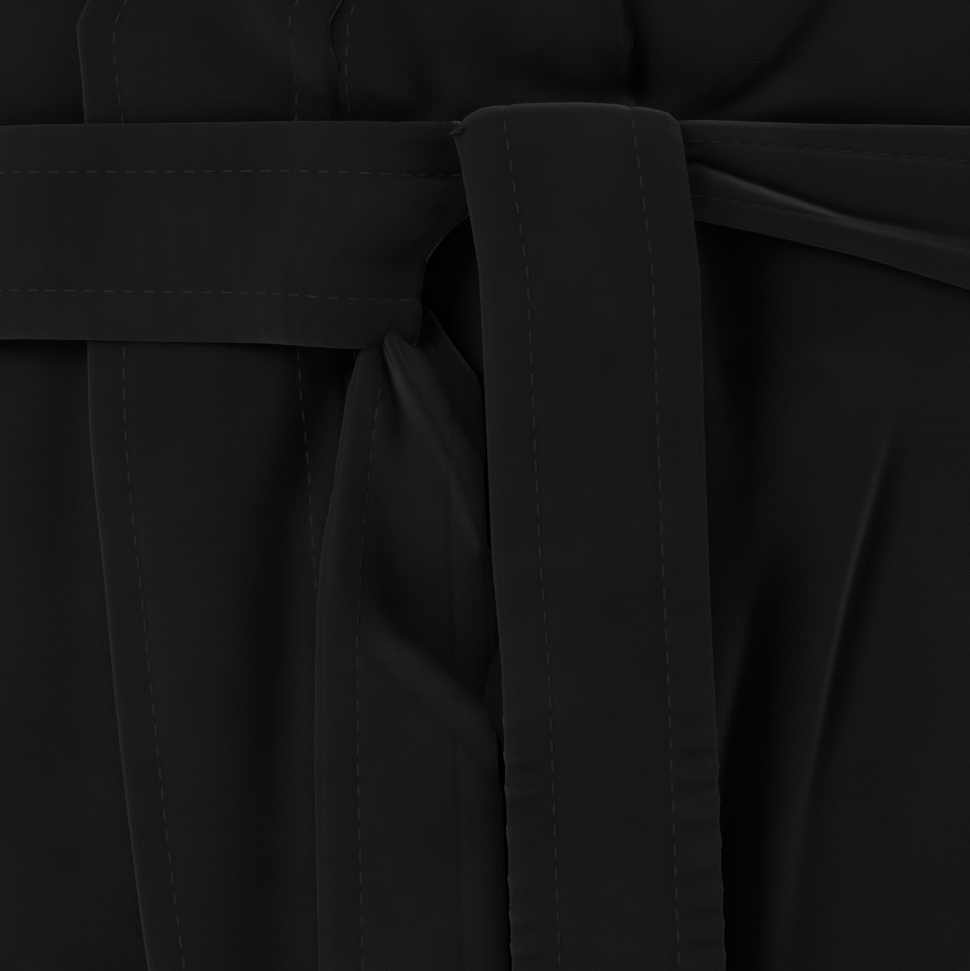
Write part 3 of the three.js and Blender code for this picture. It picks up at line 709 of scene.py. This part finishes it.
def make_tie():
    low, high = box_mm("right_tie")
    z = np.linspace(low[2] + 1, high[2], 60)[:, None]
    u = np.linspace(-1, 1, 10)[None, :]
    angle = math.radians(-62) + u * 7 / half_size(0, z)
    base = jacket_points(angle, z + 0 * u)
    grid, normals = jacket_grid(base, lift=3.4 + 0.8 * np.sin(z / 14) * smooth(-z, 40, 70))
    piece = cut_sheet(grid, normals, 1.6)
    inset_rows(piece, grid, normals, ("left", "right"), 2)
    finish(piece, "jacket_tie", ["right_tie"], "tape")


# ---- Sleeves
SLEEVE_TURN = math.radians(66)
SLEEVE_LENGTH = 380
ELBOW_SHARE = 0.42


def armpit_height():
    """Where the jacket is as wide as the armholes' planes."""
    low, high = 25.0, float(CHEST_Z)
    for _ in range(40):
        middle = (low + high) / 2
        if half_size(0, middle) < ARM_PLANE:
            low = middle
        else:
            high = middle
    return (low + high) / 2


ARMPIT = armpit_height()
ARMHOLE_HALF = (SHOULDER_Z - SHOULDER_SLOPE * ARM_PLANE - ARMPIT) / 2
SLEEVE_PIVOT = np.array([ARM_PLANE + 0.3, 0, ARMPIT - 10])


def armhole_depth(around):
    """Half depth of the armhole's edge at angles round it."""
    want = ARMPIT + (1 - np.cos(around)) * ARMHOLE_HALF
    heights = np.linspace(ARMPIT, SHOULDER_Z, 400)
    edges = heights - SHOULDER_SLOPE * ARM_PLANE * smooth(heights, CHEST_Z, SHOULDER_Z)
    found = np.interp(want, edges, heights)
    return half_depth(found) * np.cos(np.arcsin(np.minimum(1, ARM_PLANE / half_size(0, found))))


def sleeve_points(around, t):
    bend, taper = np.clip(t, 0, 1), np.clip(t - 1, 0, 1)
    turn = SLEEVE_TURN * bend
    high = np.where(t < 1, mix(ARMHOLE_HALF, 95, bend), mix(95, 64, taper))
    round_deep = mix(82, 62, taper) * np.sin(around)
    deep = mix(armhole_depth(around) * np.sign(np.sin(around)), round_deep, smooth(t, 0, 0.7))
    slack = 20 * smooth(t, 0.05, 0.75) * (1 - smooth(t, 1.1, 1.75)) * (0.5 - 0.5 * np.cos(around))
    outward = 10 + high * (1 - np.cos(around)) - slack
    x = SLEEVE_PIVOT[0] + np.sin(turn) * outward + np.cos(turn) * taper * SLEEVE_LENGTH
    z = SLEEVE_PIVOT[2] + np.cos(turn) * outward - np.sin(turn) * taper * SLEEVE_LENGTH
    return np.stack([x, -deep, z], -1)


def sleeve_folds(around, t, seed):
    """Bunching inside the elbow, pulls from the underarm and long soft waves."""
    along = (t - 1) * SLEEVE_LENGTH
    inner = 0.5 + 0.5 * np.cos(around - 0.9)
    elbow = np.exp(-((along - ELBOW_SHARE * SLEEVE_LENGTH) / 75)**2)
    bunch = 6.6 * np.sin(along / 10.5 + 1.2 * np.cos(around + 0.4) + waves(around, seed, 4, 1, 2))
    bunch = bunch * elbow * inner
    pulls = 6.0 * np.sin(3.1 * around + along / 42 + seed) * np.exp(-((along - 20) / 110)**2)
    soft = 4.6 * waves(around + along / 130, seed + 3, 5, 1, 2.6)
    ends = smooth(t, 0.0, 0.25) * (1 - smooth(t, 1.86, 1.93))
    return (bunch + pulls + soft) * ends


def make_sleeve(label, side, seed):
    t = np.concatenate([np.linspace(0, 1, 60)[:-1], np.linspace(1, 2, 130)])[:, None]
    around = np.linspace(0, TURN, 97)[:-1][None, :]
    grid = sleeve_points(around, t)
    grid[..., 0] *= side
    centre = grid.mean(1, keepdims=True)
    normals = tube_normals(grid, centre)
    # The cuff's turned hem is a ply thicker than the sleeve.
    hem = 0.7 * smooth(t, 1.893, 1.897)
    grid = grid + normals * (sleeve_folds(around * side, t, seed) + hem)[..., None]
    normals = tube_normals(grid, centre)
    cut = int(np.argmin(np.abs(t[:, 0] - 1.21)))
    parts = (
        (f"{label}_upper_arm_sleeve", slice(0, cut + 1), [f"{label}_upper_sleeve"], (True, False)),
        (f"{label}_forearm_sleeve", slice(cut, len(t)), [f"{label}_lower_sleeve", f"{label}_cuff_hem"],
         (False, True)),
    )
    down = np.array([side * math.cos(SLEEVE_TURN), 0, -math.sin(SLEEVE_TURN)])
    elbow = sleeve_points(np.array([[math.pi / 2]]), np.array([[1 + ELBOW_SHARE]]))[0, 0] * [side, 1, 1]
    bends = (
        ("torso", f"{label}_arm", (side * 226, 0, 0), (side * 262, 0, 0)),
        (f"{label}_arm", f"{label}_forearm", elbow - down * 62, elbow + down * 62),
    )
    for (name, rows, nodes, rounds), bend in zip(parts, bends):
        piece = cut_sheet(grid[rows], normals[rows], CLOTH, wrap=True, round_ends=rounds)
        if rounds[1]:
            ring = int(np.argmin(np.abs(t[:, 0] - 1.905)))
            piece.stitches(*closed_ring(grid, normals, ring))
        finish(piece, name, nodes, "cloth", bend=bend)


def closed_ring(grid, normals, row):
    line = np.vstack([grid[row], grid[row][:1]])
    return line, np.vstack([normals[row], normals[row][:1]])


# ---- Belt
def belt_clearance(x, front):
    over_lapel = smooth(x, LAPEL_WAIST - 45, LAPEL_WAIST - 5)
    over_lower = 1 - smooth(x, -LAPEL_WAIST + FALL[1], WAIST[0] - 2)
    return LAYER + SEAM / 2 + 0.1 + np.where(front, (OVERLAP_LIFT + 2) * over_lapel * over_lower, 0)


def belt_plan():
    """The belt's outer face in plan, from the left of the knot round the back to its right."""
    angle = np.concatenate([
        np.arcsin(np.linspace(-62, -130, 60) / WAIST[0]),
        np.linspace(-math.asin(131 / WAIST[0]), -TURN + math.asin(131 / WAIST[0]), 190),
        np.arcsin(np.linspace(130, 64, 60) / WAIST[0]) - TURN,
    ])
    ring = np.stack([WAIST[0] * np.sin(angle), -WAIST[1] * np.cos(angle)], 1)
    normal = unit(np.stack([np.sin(angle) / WAIST[0], -np.cos(angle) / WAIST[1]], 1))
    off = belt_clearance(ring[:, 0], ring[:, 1] < 0) + BELT_THICK
    ring = ring + normal * off[:, None]
    left = curve_through([(-3.5, -132.2), (-7.5, -133.6), (-10.6, -136.2), (-14, -138.9), (-18, -140.4),
                          (-23, -140.6), (-34, -137.4), (-47, -131.4), tuple(ring[0])], 84)
    right = curve_through([tuple(ring[-1]), (56, -128.4), (47, -132.6), (38, -136.4), (28, -139.0),
                           (14, -140.0)], 60)
    return np.vstack([left[:-1], ring[1:-1], right])


def belt_relief(across, along, length):
    """Quilting of the belt's plies between its rows of stitching; across runs 0 to 1 from edge to edge."""
    width = 2 * BELT_HALF
    rows = (BELT_STITCH / width, 1 - BELT_STITCH / width)
    dips = sum(np.exp(-((across - row) * width / 0.9)**2) for row in rows)
    puff = 0.35 * np.sin(math.pi * np.clip((across - rows[0]) / (rows[1] - rows[0]), 0, 1))
    edge = -1.1 * (1 - smooth(np.minimum(across, 1 - across) * width, 0, 2.2))
    pucker = 0.12 * np.sin(along * TURN / 6.6 + 2.2 * across + 0.8 * waves(along / 17, 77))
    return puff - 0.5 * dips + edge + pucker * (1 - 0.6 * dips)


def make_band():
    plan = belt_plan()
    steps = run_length(plan)
    at = np.linspace(0, steps[-1], 620)
    plan = np.stack([np.interp(at, steps, plan[:, k]) for k in range(2)], 1)
    tangent = np.gradient(plan, axis=0)
    normal = unit(np.stack([tangent[:, 1], -tangent[:, 0]], 1))
    x = plan[:, 0]
    left = at < 260
    right = at > at[-1] - 260
    top = np.full(len(at), BELT_HALF)
    foot = np.full(len(at), -BELT_HALF)
    top[left] = table(x[left], (-150, BELT_HALF), (-90, 20.3), (-40, 19.6), (-16, 18.6), (-4, 19.2))
    foot[left] = table(x[left], (-150, -BELT_HALF), (-90, -19.4), (-40, -20.8), (-16, -22.2), (-4, -22.4))
    top[right] = table(x[right], (14, 17.5), (30, 19.5), (40, 20.3), (95, 20.3), (150, BELT_HALF))
    foot[right] = table(x[right], (14, 3.0), (28, 2.6), (40, 2.0), (53, -0.4), (71, -4.3), (95, -10.5),
                        (125, -17), (150, -BELT_HALF))
    across = np.linspace(0, 1, 56)[:, None]
    z = mix(top, foot, across)
    relief = belt_relief(across + 0 * at, at[None, :] + 0 * across, at[-1])
    # On the right the belt is folded lengthwise on its way into the knot: a deep crease between two rolls.
    crease = table(x, (14, 14.0), (41, 13.0), (55, 8.4), (71, 3.2), (100, -2.0), (130, -4.0))
    depth = np.where(right, table(x, (14, 4.8), (41, 4.8), (71, 4.2), (100, 1.6), (135, 0)), 0)
    relief = relief - depth * np.exp(-((z - crease) / 2.0)**2)
    upper = np.exp(-((z - (crease + top) / 2) / 4.5)**2)
    lower = np.exp(-((z - (crease + foot) / 2) / 3.6)**2)
    relief = relief + depth * (0.42 * upper + 0.3 * lower)
    relief = relief - depth * 0.6 * smooth(across, 0.86, 1.0)
    # Soft lengthwise creases where the left end is gathered towards the knot.
    near = smooth(x, -46, -14) * left
    relief = relief + near * (1.3 * np.sin((z + 0.12 * x) / 3.1 + 0.5) - 1.2 * np.exp(-((z - 8) / 3.0)**2))
    relief = relief - 0.5 * np.exp(-((x + 64 + 0.5 * z) / 14)**2) * left
    out = np.concatenate([normal, np.zeros((len(at), 1))], 1)
    centre = np.stack([plan[:, 0] + 0 * across, plan[:, 1] + 0 * across, z], -1)
    # The left end rolls under on a slant: its top edge runs on into the knot, and its foot draws back.
    slant = np.where(left, 1 - smooth(at, 14, 50), 0)
    centre[..., 0] -= slant * table(-z, (-22, 0.0), (-8, -1.0), (-2, 1.0), (2, 5.0), (6, 8.0), (12, 9.5),
                                    (23, 10.0))
    if out[len(at) // 2, 1] < 0:
        out = -out
    grid = centre + out[None] * relief[..., None]
    normals = grid_normals(grid)
    if (normals[:, 300] * out[300]).sum() < 0:
        normals = -normals
    piece = cut_sheet(grid, normals, BELT_THICK)
    inset_rows(piece, grid, normals, ("first", "last"), BELT_STITCH)
    finish(piece, "belt_band", ["belt_wrap"], "belt")


HINGE_Z = -21.8  # the height of both ends' hinges, under the knot
TAIL_STEPS = 330
BELT_STITCH = 9.0  # how far the belt's stitch rows lie inside its edges
END_STITCH = 6.0


def make_front_tail():
    path = curve_through([(-132, 10), (-132.8, 16), (-136.0, 21.4), (-140.6, 22.8), (-144.8, 20.0),
                          (-147.8, 13.0), (-149.0, 3), (-148.4, -8), (-146.6, -20), (-144.4, -34),
                          (-143.0, -56), (-142.4, -90), (-142.0, -140), (-141.6, -200),
                          (-141.2, foot_of("belt_front_tail") + 1)], TAIL_STEPS)
    (y, z), steps = path.T, run_length(path)
    hidden = np.arange(len(z)) < np.argmax(z)
    level = np.where(hidden, 22.6 + (22.6 - z) * 0.2, z)
    left = front_tail_left(level) + np.where(hidden, 9.0, 0) * smooth(-y, 142, 134)
    right = table(-level, (-26, 36.0), (-20, 36.4), (9, 39.8), (61, 41.6), (138, 44.6), (286, 50.4))
    across = np.linspace(0, 1, 58)[None, :]
    x = mix(left[:, None], right[:, None], across)
    tangent = np.gradient(path, axis=0)
    out = unit(np.stack([0 * y, tangent[:, 1], -tangent[:, 0]], 1))
    if out[-1, 1] > 0:
        out = -out
    along = steps[:, None] + 0 * across
    relief = belt_relief(across + 0 * along, along, steps[-1])
    falling = smooth(-z, 30, 90)[:, None]
    edge = np.abs(across - 0.5) * 2
    # Puckers between the stitch rows and the edges, and a slow curl of the whole strip.
    pucker = 0.95 * np.sin(along * TURN / 7.0 + 3.0 * across + waves(along / 23, 91)) * smooth(edge, 0.5, 0.8)
    pucker = pucker * smooth(-z, 80, 100)[:, None] + 0.3 * pucker
    curl = -2.2 * edge**4 * (1 - 0.4 * falling) + 1.1 * falling * np.sin(along / 47 + 1.4 * across)
    curl = curl + 0.35 * waves(along / 13 + 2.0 * across, 92, 5, 0.6, 1.6) * (1 - edge**4)
    roll = -2.4 * np.exp(-(across / 0.09)**2) * np.exp(-((z - 16) / 9)**2)[:, None]
    dent = -0.9 * np.exp(-((across - 0.36) / 0.13)**2) * np.exp(-((z - 4) / 13)**2)[:, None]
    relief = relief + pucker * falling + curl + roll + dent
    grid = np.stack([x, y[:, None] + 0 * x, z[:, None] + 0 * x], -1) + out[:, None] * relief[..., None]
    normals = grid_normals(grid)
    if (normals[-1] * out[-1]).sum() < 0:
        normals = -normals
    piece = cut_sheet(grid, normals, BELT_THICK)
    inset_rows(piece, grid, normals, ("left", "right"), BELT_STITCH)
    inset_rows(piece, grid, normals, ("last",), END_STITCH)
    finish(piece, "belt_front_end", ["belt_front_tail"], "belt",
           bend=("torso", "front_tail", (0, 0, HINGE_Z + 4), (0, 0, HINGE_Z - 22)))


BACK_RIDGE = ((-18.6, -21), (-14.2, -29), (-11.3, -34.5), (-6.7, -43.2), (-3.8, -50.7), (-0.6, -59))
BACK_PLEATS = (
    # The crease beside the left pleat, the edge of the pleat that crosses behind, and the hollow below both.
    ((-19.6, -21, -4.0, 1.3), (-17.6, -29, -4.6, 1.6), (-15.8, -36, -3.6, 2.2), (-14.6, -44, -1.6, 3.0)),
    tuple((x, z, 2.6, 1.7) for x, z in BACK_RIDGE),
    ((-26.0, -30, 1.2, 2.6), (-25.5, -48, 1.6, 3.6), (-21.0, -60, 0.6, 4.0)),
    ((-27.0, -76, 0.8, 4.0), (-14.0, -85, 2.0, 4.4), (-4.0, -94, 2.2, 4.4), (2.0, -100, 1.4, 4.4)),
    ((-14.0, -105, 0.8, 9.0), (-12.0, -140, 0.6, 9.0)),
)


def front_tail_left(z):
    return table(-z, (-26, -6.0), (-20, -5.6), (9, -1.0), (61, 1.5), (82, 3.4), (138, 5.4), (286, 11.4))


def make_back_tail():
    path = curve_through([(-133.4, -15), (-134.4, -20), (-136.6, -26), (-138.2, -34), (-138.0, -50),
                          (-137.4, -80), (-137.0, -140), (-136.9, -210),
                          (-136.8, foot_of("belt_back_tail") + 1)], TAIL_STEPS)
    (y, z), steps = path.T, run_length(path)
    left = table(-z, (12, -20.0), (16, -21.0), (23, -23.6), (40, -27.0), (61, -30.2), (74, -31.2),
                 (100, -31.4), (138, -30.6), (286, -31.0))
    right = table(-z, (12, -12.0), (20, -7.0), (27, -2.0), (32, -0.6), (40, 0.4), (286, 9))
    right = np.minimum(front_tail_left(z) - 1.0, right)
    across = np.linspace(0, 1, 84)[None, :]
    x = mix(left[:, None], right[:, None], across)
    zz = z[:, None] + 0 * x
    along = steps[:, None] + 0 * x
    relief = 0.8 * belt_relief(across + 0 * along, along, steps[-1])
    relief = relief + sum(line_field(x, zz, points) for points in BACK_PLEATS)
    ridge_x = table(-zz, *[(-height, at) for at, height in BACK_RIDGE])
    behind = smooth(x - ridge_x, 0.8, 6.5) * (1 - smooth(-zz, 36, 60))
    # Below the pleats the cloth slopes back, and steps out again where the end hangs full.
    over_step = 0.678 * (x + 24) + 0.734 * (zz + 70)
    slope = smooth(over_step, -8, 3) * (1 - smooth(over_step, 3, 27)) * smooth(x, -28, -17)
    edge = smooth(across, 0.86, 1)
    relief = relief - 13.0 * slope - 7.0 * behind - 1.4 * edge * (1 - behind)
    relief = relief - 0.8 * (1 - smooth(across, 0, 0.1))
    relief = relief + 0.5 * np.sin(along / 31 + 2 * across) * smooth(-zz, 90, 130)
    grid = np.stack([x, y[:, None] - relief, zz], -1)
    normals = grid_normals(grid)
    if normals[..., 1].sum() > 0:
        normals = -normals
    piece = cut_sheet(grid, normals, BELT_THICK * 0.8)
    inset_rows(piece, grid, normals, ("left",), 8.4)
    inset_rows(piece, grid, normals, ("last",), END_STITCH)
    finish(piece, "belt_back_end", ["belt_back_tail"], "belt",
           bend=("torso", "back_tail", (0, 0, HINGE_Z + 2), (0, 0, HINGE_Z - 20)))


def make_knot():
    """The folded belt inside the knot: a flattened roll behind the front end, with its own soft creases."""
    low, high = box_mm("belt_knot")
    u = np.linspace(-1, 1, 60)[:, None]
    around = np.linspace(0, TURN, 49)[:-1][None, :]
    taper = np.sqrt(np.clip(1 - u**4, 0.02, 1))
    x = mix(2.0, high[0] - 3, (u + 1) / 2)
    creases = 1 + 0.06 * np.sin(5 * around + 2.4 * u) + 0.04 * np.sin(9 * u + 2 * around)
    depth = 4.4 * taper * creases * np.cos(around)
    height = 15.5 * taper * creases * np.sin(around)
    middle = (low[1] + high[1]) / 2 + 1.2
    grid = np.stack([x + 0 * around, middle - depth, height + 1.0 - 1.5 * u], -1)
    centre = grid.mean(1, keepdims=True)
    normals = tube_normals(grid, centre)
    piece = cut_sheet(grid, normals, 1.5, wrap=True)
    finish(piece, "belt_knot_roll", ["belt_knot"], "belt")


# ---- Trousers
WAISTBAND_LOW, WAISTBAND_HIGH = box_mm("waistband")
CROTCH_Z = foot_of("left_seat")
THIGH_Z = foot_of("left_hip")
KNEE_Z = foot_of("left_thigh")
SEAT = (184, 116)
THIGH, KNEE, ANKLE = (86, 94, 97), (86, 88, 112), (82, 82, 126)
LEG_GAP = 8
LEG_HEM_Z = -899
HIP_BEND = (0, 0, -262), (0, 0, -372)  # where the cloth starts and stops bending at each joint
KNEE_BEND = (0, 0, -492), (0, 0, -640)
LEG_CUTS = (-430, -700)
SIDE_SEAM = 30  # the column of a leg's grid that lies at its side


def pressed_in(grid):
    """The trousers' points moved in wherever the folds of the jacket over them press in."""
    return grid + unit(grid * [1, 1, 0]) * np.minimum(0, body_folds(grid))[..., None]


def make_waistband():
    z = np.linspace(WAISTBAND_LOW[2], WAISTBAND_HIGH[2], 22)[:, None]
    angle = np.linspace(0, TURN, 241)[:-1][None, :]
    wide, deep = WAISTBAND_HIGH[0], WAISTBAND_HIGH[1]
    ruffle = 0.8 * waves(angle * 12, 61, 7, 1, 4) - 0.8
    grid = np.stack([(wide + ruffle) * np.sin(angle) + 0 * z, -(deep + ruffle) * np.cos(angle) + 0 * z,
                     z + 0 * angle], -1)
    grid = pressed_in(grid)
    normals = tube_normals(grid, grid.mean(1, keepdims=True))
    piece = cut_sheet(grid, normals, 3.2, wrap=True)
    for row in (3, 18):
        piece.stitches(*closed_ring(grid, normals, row))
    finish(piece, "trouser_waistband", ["waistband"], "facing")


def make_seat(name, side):
    z = np.linspace(CROTCH_Z, WAISTBAND_LOW[2] - 0.3, 70)[:, None]
    angle = np.linspace(0, math.pi, 120)[None, :]
    share = smooth(z, CROTCH_Z, WAISTBAND_LOW[2])
    wide, deep = mix(SEAT[0], WAISTBAND_HIGH[0], share), mix(SEAT[1], WAISTBAND_HIGH[1], share)
    ruffle = -1.2 + (0.6 + 1.6 * (1 - share)) * (waves(angle * 7, 63, 7, 1, 4) - 0.8)
    x = side * ((wide + ruffle) * np.sin(angle) + SEAM / 2)
    grid = pressed_in(np.stack([x, -(deep + ruffle) * np.cos(angle), z + 0 * angle], -1))
    normals = facing_out(grid)
    piece = cut_sheet(grid, normals, CLOTH)
    inset_rows(piece, grid, normals, ("left", "right"), 4)
    finish(piece, f"trouser_{name}", [name], "cloth")


def make_gusset():
    low, high = box_mm("crotch_gusset")
    x = np.linspace(low[0], high[0], 8)[None, :]
    y = np.linspace(low[1], high[1], 60)[:, None]
    grid = np.stack([x + 0 * y, y + 0 * x, high[2] - 0.4 - 0.5 * (x / high[0])**2 + 0 * y], -1)
    normals = np.zeros_like(grid)
    normals[..., 2] = 1
    piece = cut_sheet(grid, normals, 1.8)
    finish(piece, "trouser_gusset", ["crotch_gusset"], "cloth")


def leg_points(around, z):
    slack = math.asin(LEG_GAP / SEAT[0])
    outer = around <= math.pi
    seat_angle = mix(slack, math.pi - slack, np.clip(around / math.pi, 0, 1))
    flat_x = np.where(outer, SEAT[0] * np.sin(seat_angle), LEG_GAP)
    flat_y = np.where(outer, -SEAT[1] * np.cos(seat_angle), mix(SEAT[1], -SEAT[1], around / math.pi - 1))
    below = np.clip((THIGH_Z - z) / (THIGH_Z - KNEE_Z), 0, 1)
    shin = np.clip((KNEE_Z - z) / (KNEE_Z - ANKLE_Z), 0, 1)
    wide, deep, out = (mix(mix(a, b, below), c, shin) for a, b, c in zip(THIGH, KNEE, ANKLE))
    oval_x, oval_y = out + wide * np.sin(around), -deep * np.cos(around)
    share = smooth(-z, -CROTCH_Z - 12, -THIGH_Z)
    return np.stack([mix(flat_x, oval_x, share), mix(flat_y, oval_y, share), z + 0 * around], -1)


def leg_folds(around, z, seed):
    """Soft lengthwise folds, drag lines under the seat, creases behind the knee and a break at the ankle."""
    inner = 0.5 + 0.5 * np.cos(around - 1.5 * math.pi)
    back = 0.5 - 0.5 * np.cos(around)
    soft = 6.5 * waves(around + 0.0016 * z, seed, 5, 1, 3.2) * smooth(-z, 300, 420)
    drag = 5.0 * np.sin(z / 17 + 1.6 * np.sin(around + 0.5) + seed) * np.exp(-((z + 350) / 75)**2) * inner
    knee = 6.4 * np.sin(z / 12 + 1.3 * np.cos(around) + waves(around, seed + 2, 4, 1, 2))
    knee = knee * np.exp(-((z - KNEE_Z) / 80)**2) * back
    ankle = 5.2 * np.sin(z / 13 + 1.5 * np.sin(around + 1)) * np.exp(-((z + 860) / 42)**2) * (1 - 0.5 * back)
    return (soft + drag + knee + ankle) * smooth(-z, -CROTCH_Z, -CROTCH_Z + 50) * (1 - smooth(-z, 880, 896))


def make_leg(label, side, seed):
    z = np.append(spread((CROTCH_Z - 0.3, LEG_HEM_Z, 4.4)), spread((LEG_HEM_Z, ANKLE_Z, 1.6))[1:])[:, None]
    around = (np.linspace(0, TURN, 121)[:-1][None, :] + 0.06) % TURN
    grid = leg_points(around, z)
    grid[..., 0] *= side
    centre = grid.mean(1, keepdims=True)
    normals = tube_normals(grid, centre)
    hem = 0.7 * smooth(-z, 898.5, 900)
    grid = grid + normals * (leg_folds(around, z, seed) + hem)[..., None]
    normals = tube_normals(grid, centre)
    cuts = [0, *(int(np.argmin(np.abs(z[:, 0] - cut))) for cut in LEG_CUTS), len(z) - 1]
    upper, lower = f"{label}_upper_leg", f"{label}_lower_leg"
    parts = (
        (f"trouser_{label}_hip", [f"{label}_hip"], ("torso", upper, *HIP_BEND), None),
        (f"trouser_{label}_knee", [f"{label}_thigh"], (upper, lower, *KNEE_BEND), None),
        (f"trouser_{label}_shin", [f"{label}_shin", f"{label}_leg_hem"], None, lower),
    )
    for k, (name, nodes, bend, body) in enumerate(parts):
        rows = slice(cuts[k], cuts[k + 1] + 1)
        piece = cut_sheet(grid[rows], normals[rows], CLOTH, wrap=True, round_ends=(k == 0, k == 2))
        piece.stitches(grid[rows, SIDE_SEAM], normals[rows, SIDE_SEAM])
        if k == 2:
            ring = int(np.argmin(np.abs(z[:, 0] + 904)))
            piece.stitches(*closed_ring(grid, normals, ring))
        finish(piece, name, nodes, "cloth",
               body=body, bend=bend)
    make_patch(label, side, seed, lower, upper)


def make_patch(label, side, seed, lower, upper):
    low, high = box_mm(f"{label}_knee_patch")
    z = np.linspace(low[2], high[2], 60)[:, None]
    half = math.radians(52)
    around = (np.linspace(-half, half, 60)[None, :] + TURN) % TURN
    grid = leg_points(around, z)
    grid[..., 0] *= side
    centre = leg_points(np.linspace(0, TURN, 40)[None, :], z).mean(1, keepdims=True) * [side, 1, 1]
    normals = grid_normals(grid)
    normals *= np.sign((normals * (grid - centre)).sum())
    grid = grid + normals * (leg_folds(around, z, seed) + 1.9)[..., None]
    normals = grid_normals(grid)
    normals *= np.sign((normals * (grid - centre)).sum())
    piece = cut_sheet(grid, normals, 1.4)
    inset_rows(piece, grid, normals, ("left", "right", "first", "last"), 4)
    name = f"{label}_knee_patch"
    finish(piece, f"trouser_{name}", [name], "cloth",
           bend=(upper, lower, *KNEE_BEND))


# ---- Camera: level with the middle of the knot's tails, straight in front, through a long lens
VIEW_WIDE = 0.1805
VIEW_CENTRE = Vector((0, -0.142, -0.0481))
LENS, SENSOR = 200.0, 36.0
camera_data = bpy.data.cameras.new("camera")
camera_data.lens = LENS
camera_data.sensor_width = SENSOR
camera_data.clip_start = 0.05
camera_data.clip_end = 50
camera = bpy.data.objects.new("camera", camera_data)
camera.location = VIEW_CENTRE + Vector((0, -VIEW_WIDE * LENS / SENSOR, 0))
camera.rotation_euler = (math.pi / 2, 0, 0)
bpy.context.collection.objects.link(camera)
bpy.context.scene.camera = camera

# ---- The uniform
SIDES = (("left", 1), ("right", -1))
make_back()
for side_name, sign in SIDES:
    make_front(f"{side_name}_front", sign, sign > 0)
for side_name, sign in SIDES:
    make_collar(f"{side_name}_collar_band", sign, sign > 0)
for side_name, sign in SIDES:
    make_vent(f"{side_name}_vent_patch", sign)
make_tie()
for (side_name, sign), fold_seed in zip(SIDES, (3, 9)):
    make_sleeve(side_name, sign, fold_seed)
make_band()
make_knot()
make_front_tail()
make_back_tail()
make_waistband()
for side_name, sign in SIDES:
    make_seat(f"{side_name}_seat", sign)
make_gusset()
for (side_name, sign), fold_seed in zip(SIDES, (14, 23)):
    make_leg(side_name, sign, fold_seed)


# ---- Floor and soft studio light
def make_stage():
    half, level = 40.0, ANKLE_Z * MM - 0.004
    verts = [(-half, -half, level), (half, -half, level), (half, half, level), (-half, half, level)]
    mesh = bpy.data.meshes.new("studio_floor")
    mesh.from_pydata(verts, [], [(0, 1, 2, 3)])
    mesh.materials.append(new_material("studio_paper", Base_Color=(0.8, 0.8, 0.79, 1), Roughness=0.9)[0])
    obj = bpy.data.objects.new("studio_floor", mesh)
    bpy.context.collection.objects.link(obj)


def area_light(name, power, size, place_at, aim):
    data = bpy.data.lights.new(name, "AREA")
    data.energy = power
    data.shape = "RECTANGLE"
    data.size, data.size_y = size
    light = bpy.data.objects.new(name, data)
    light.location = place_at
    light.rotation_euler = (Vector(aim) - Vector(place_at)).to_track_quat("-Z", "Y").to_euler()
    bpy.context.collection.objects.link(light)


make_stage()
area_light("key", 82, (1.5, 1.5), (-1.9, -2.6, 1.3), (0, 0, -0.1))
area_light("fill", 14, (2.6, 2.6), (2.4, -2.6, 0.3), (0, 0, -0.2))
area_light("back", 70, (2.0, 1.6), (1.4, 2.7, 1.5), (0, 0, -0.2))
world = bpy.data.worlds.new("studio")
world.use_nodes = True
world.node_tree.nodes["Background"].inputs["Color"].default_value = (0.93, 0.95, 0.95, 1)
world.node_tree.nodes["Background"].inputs["Strength"].default_value = 0.48
bpy.context.scene.world = world
bpy.context.scene.view_settings.view_transform = "Standard"
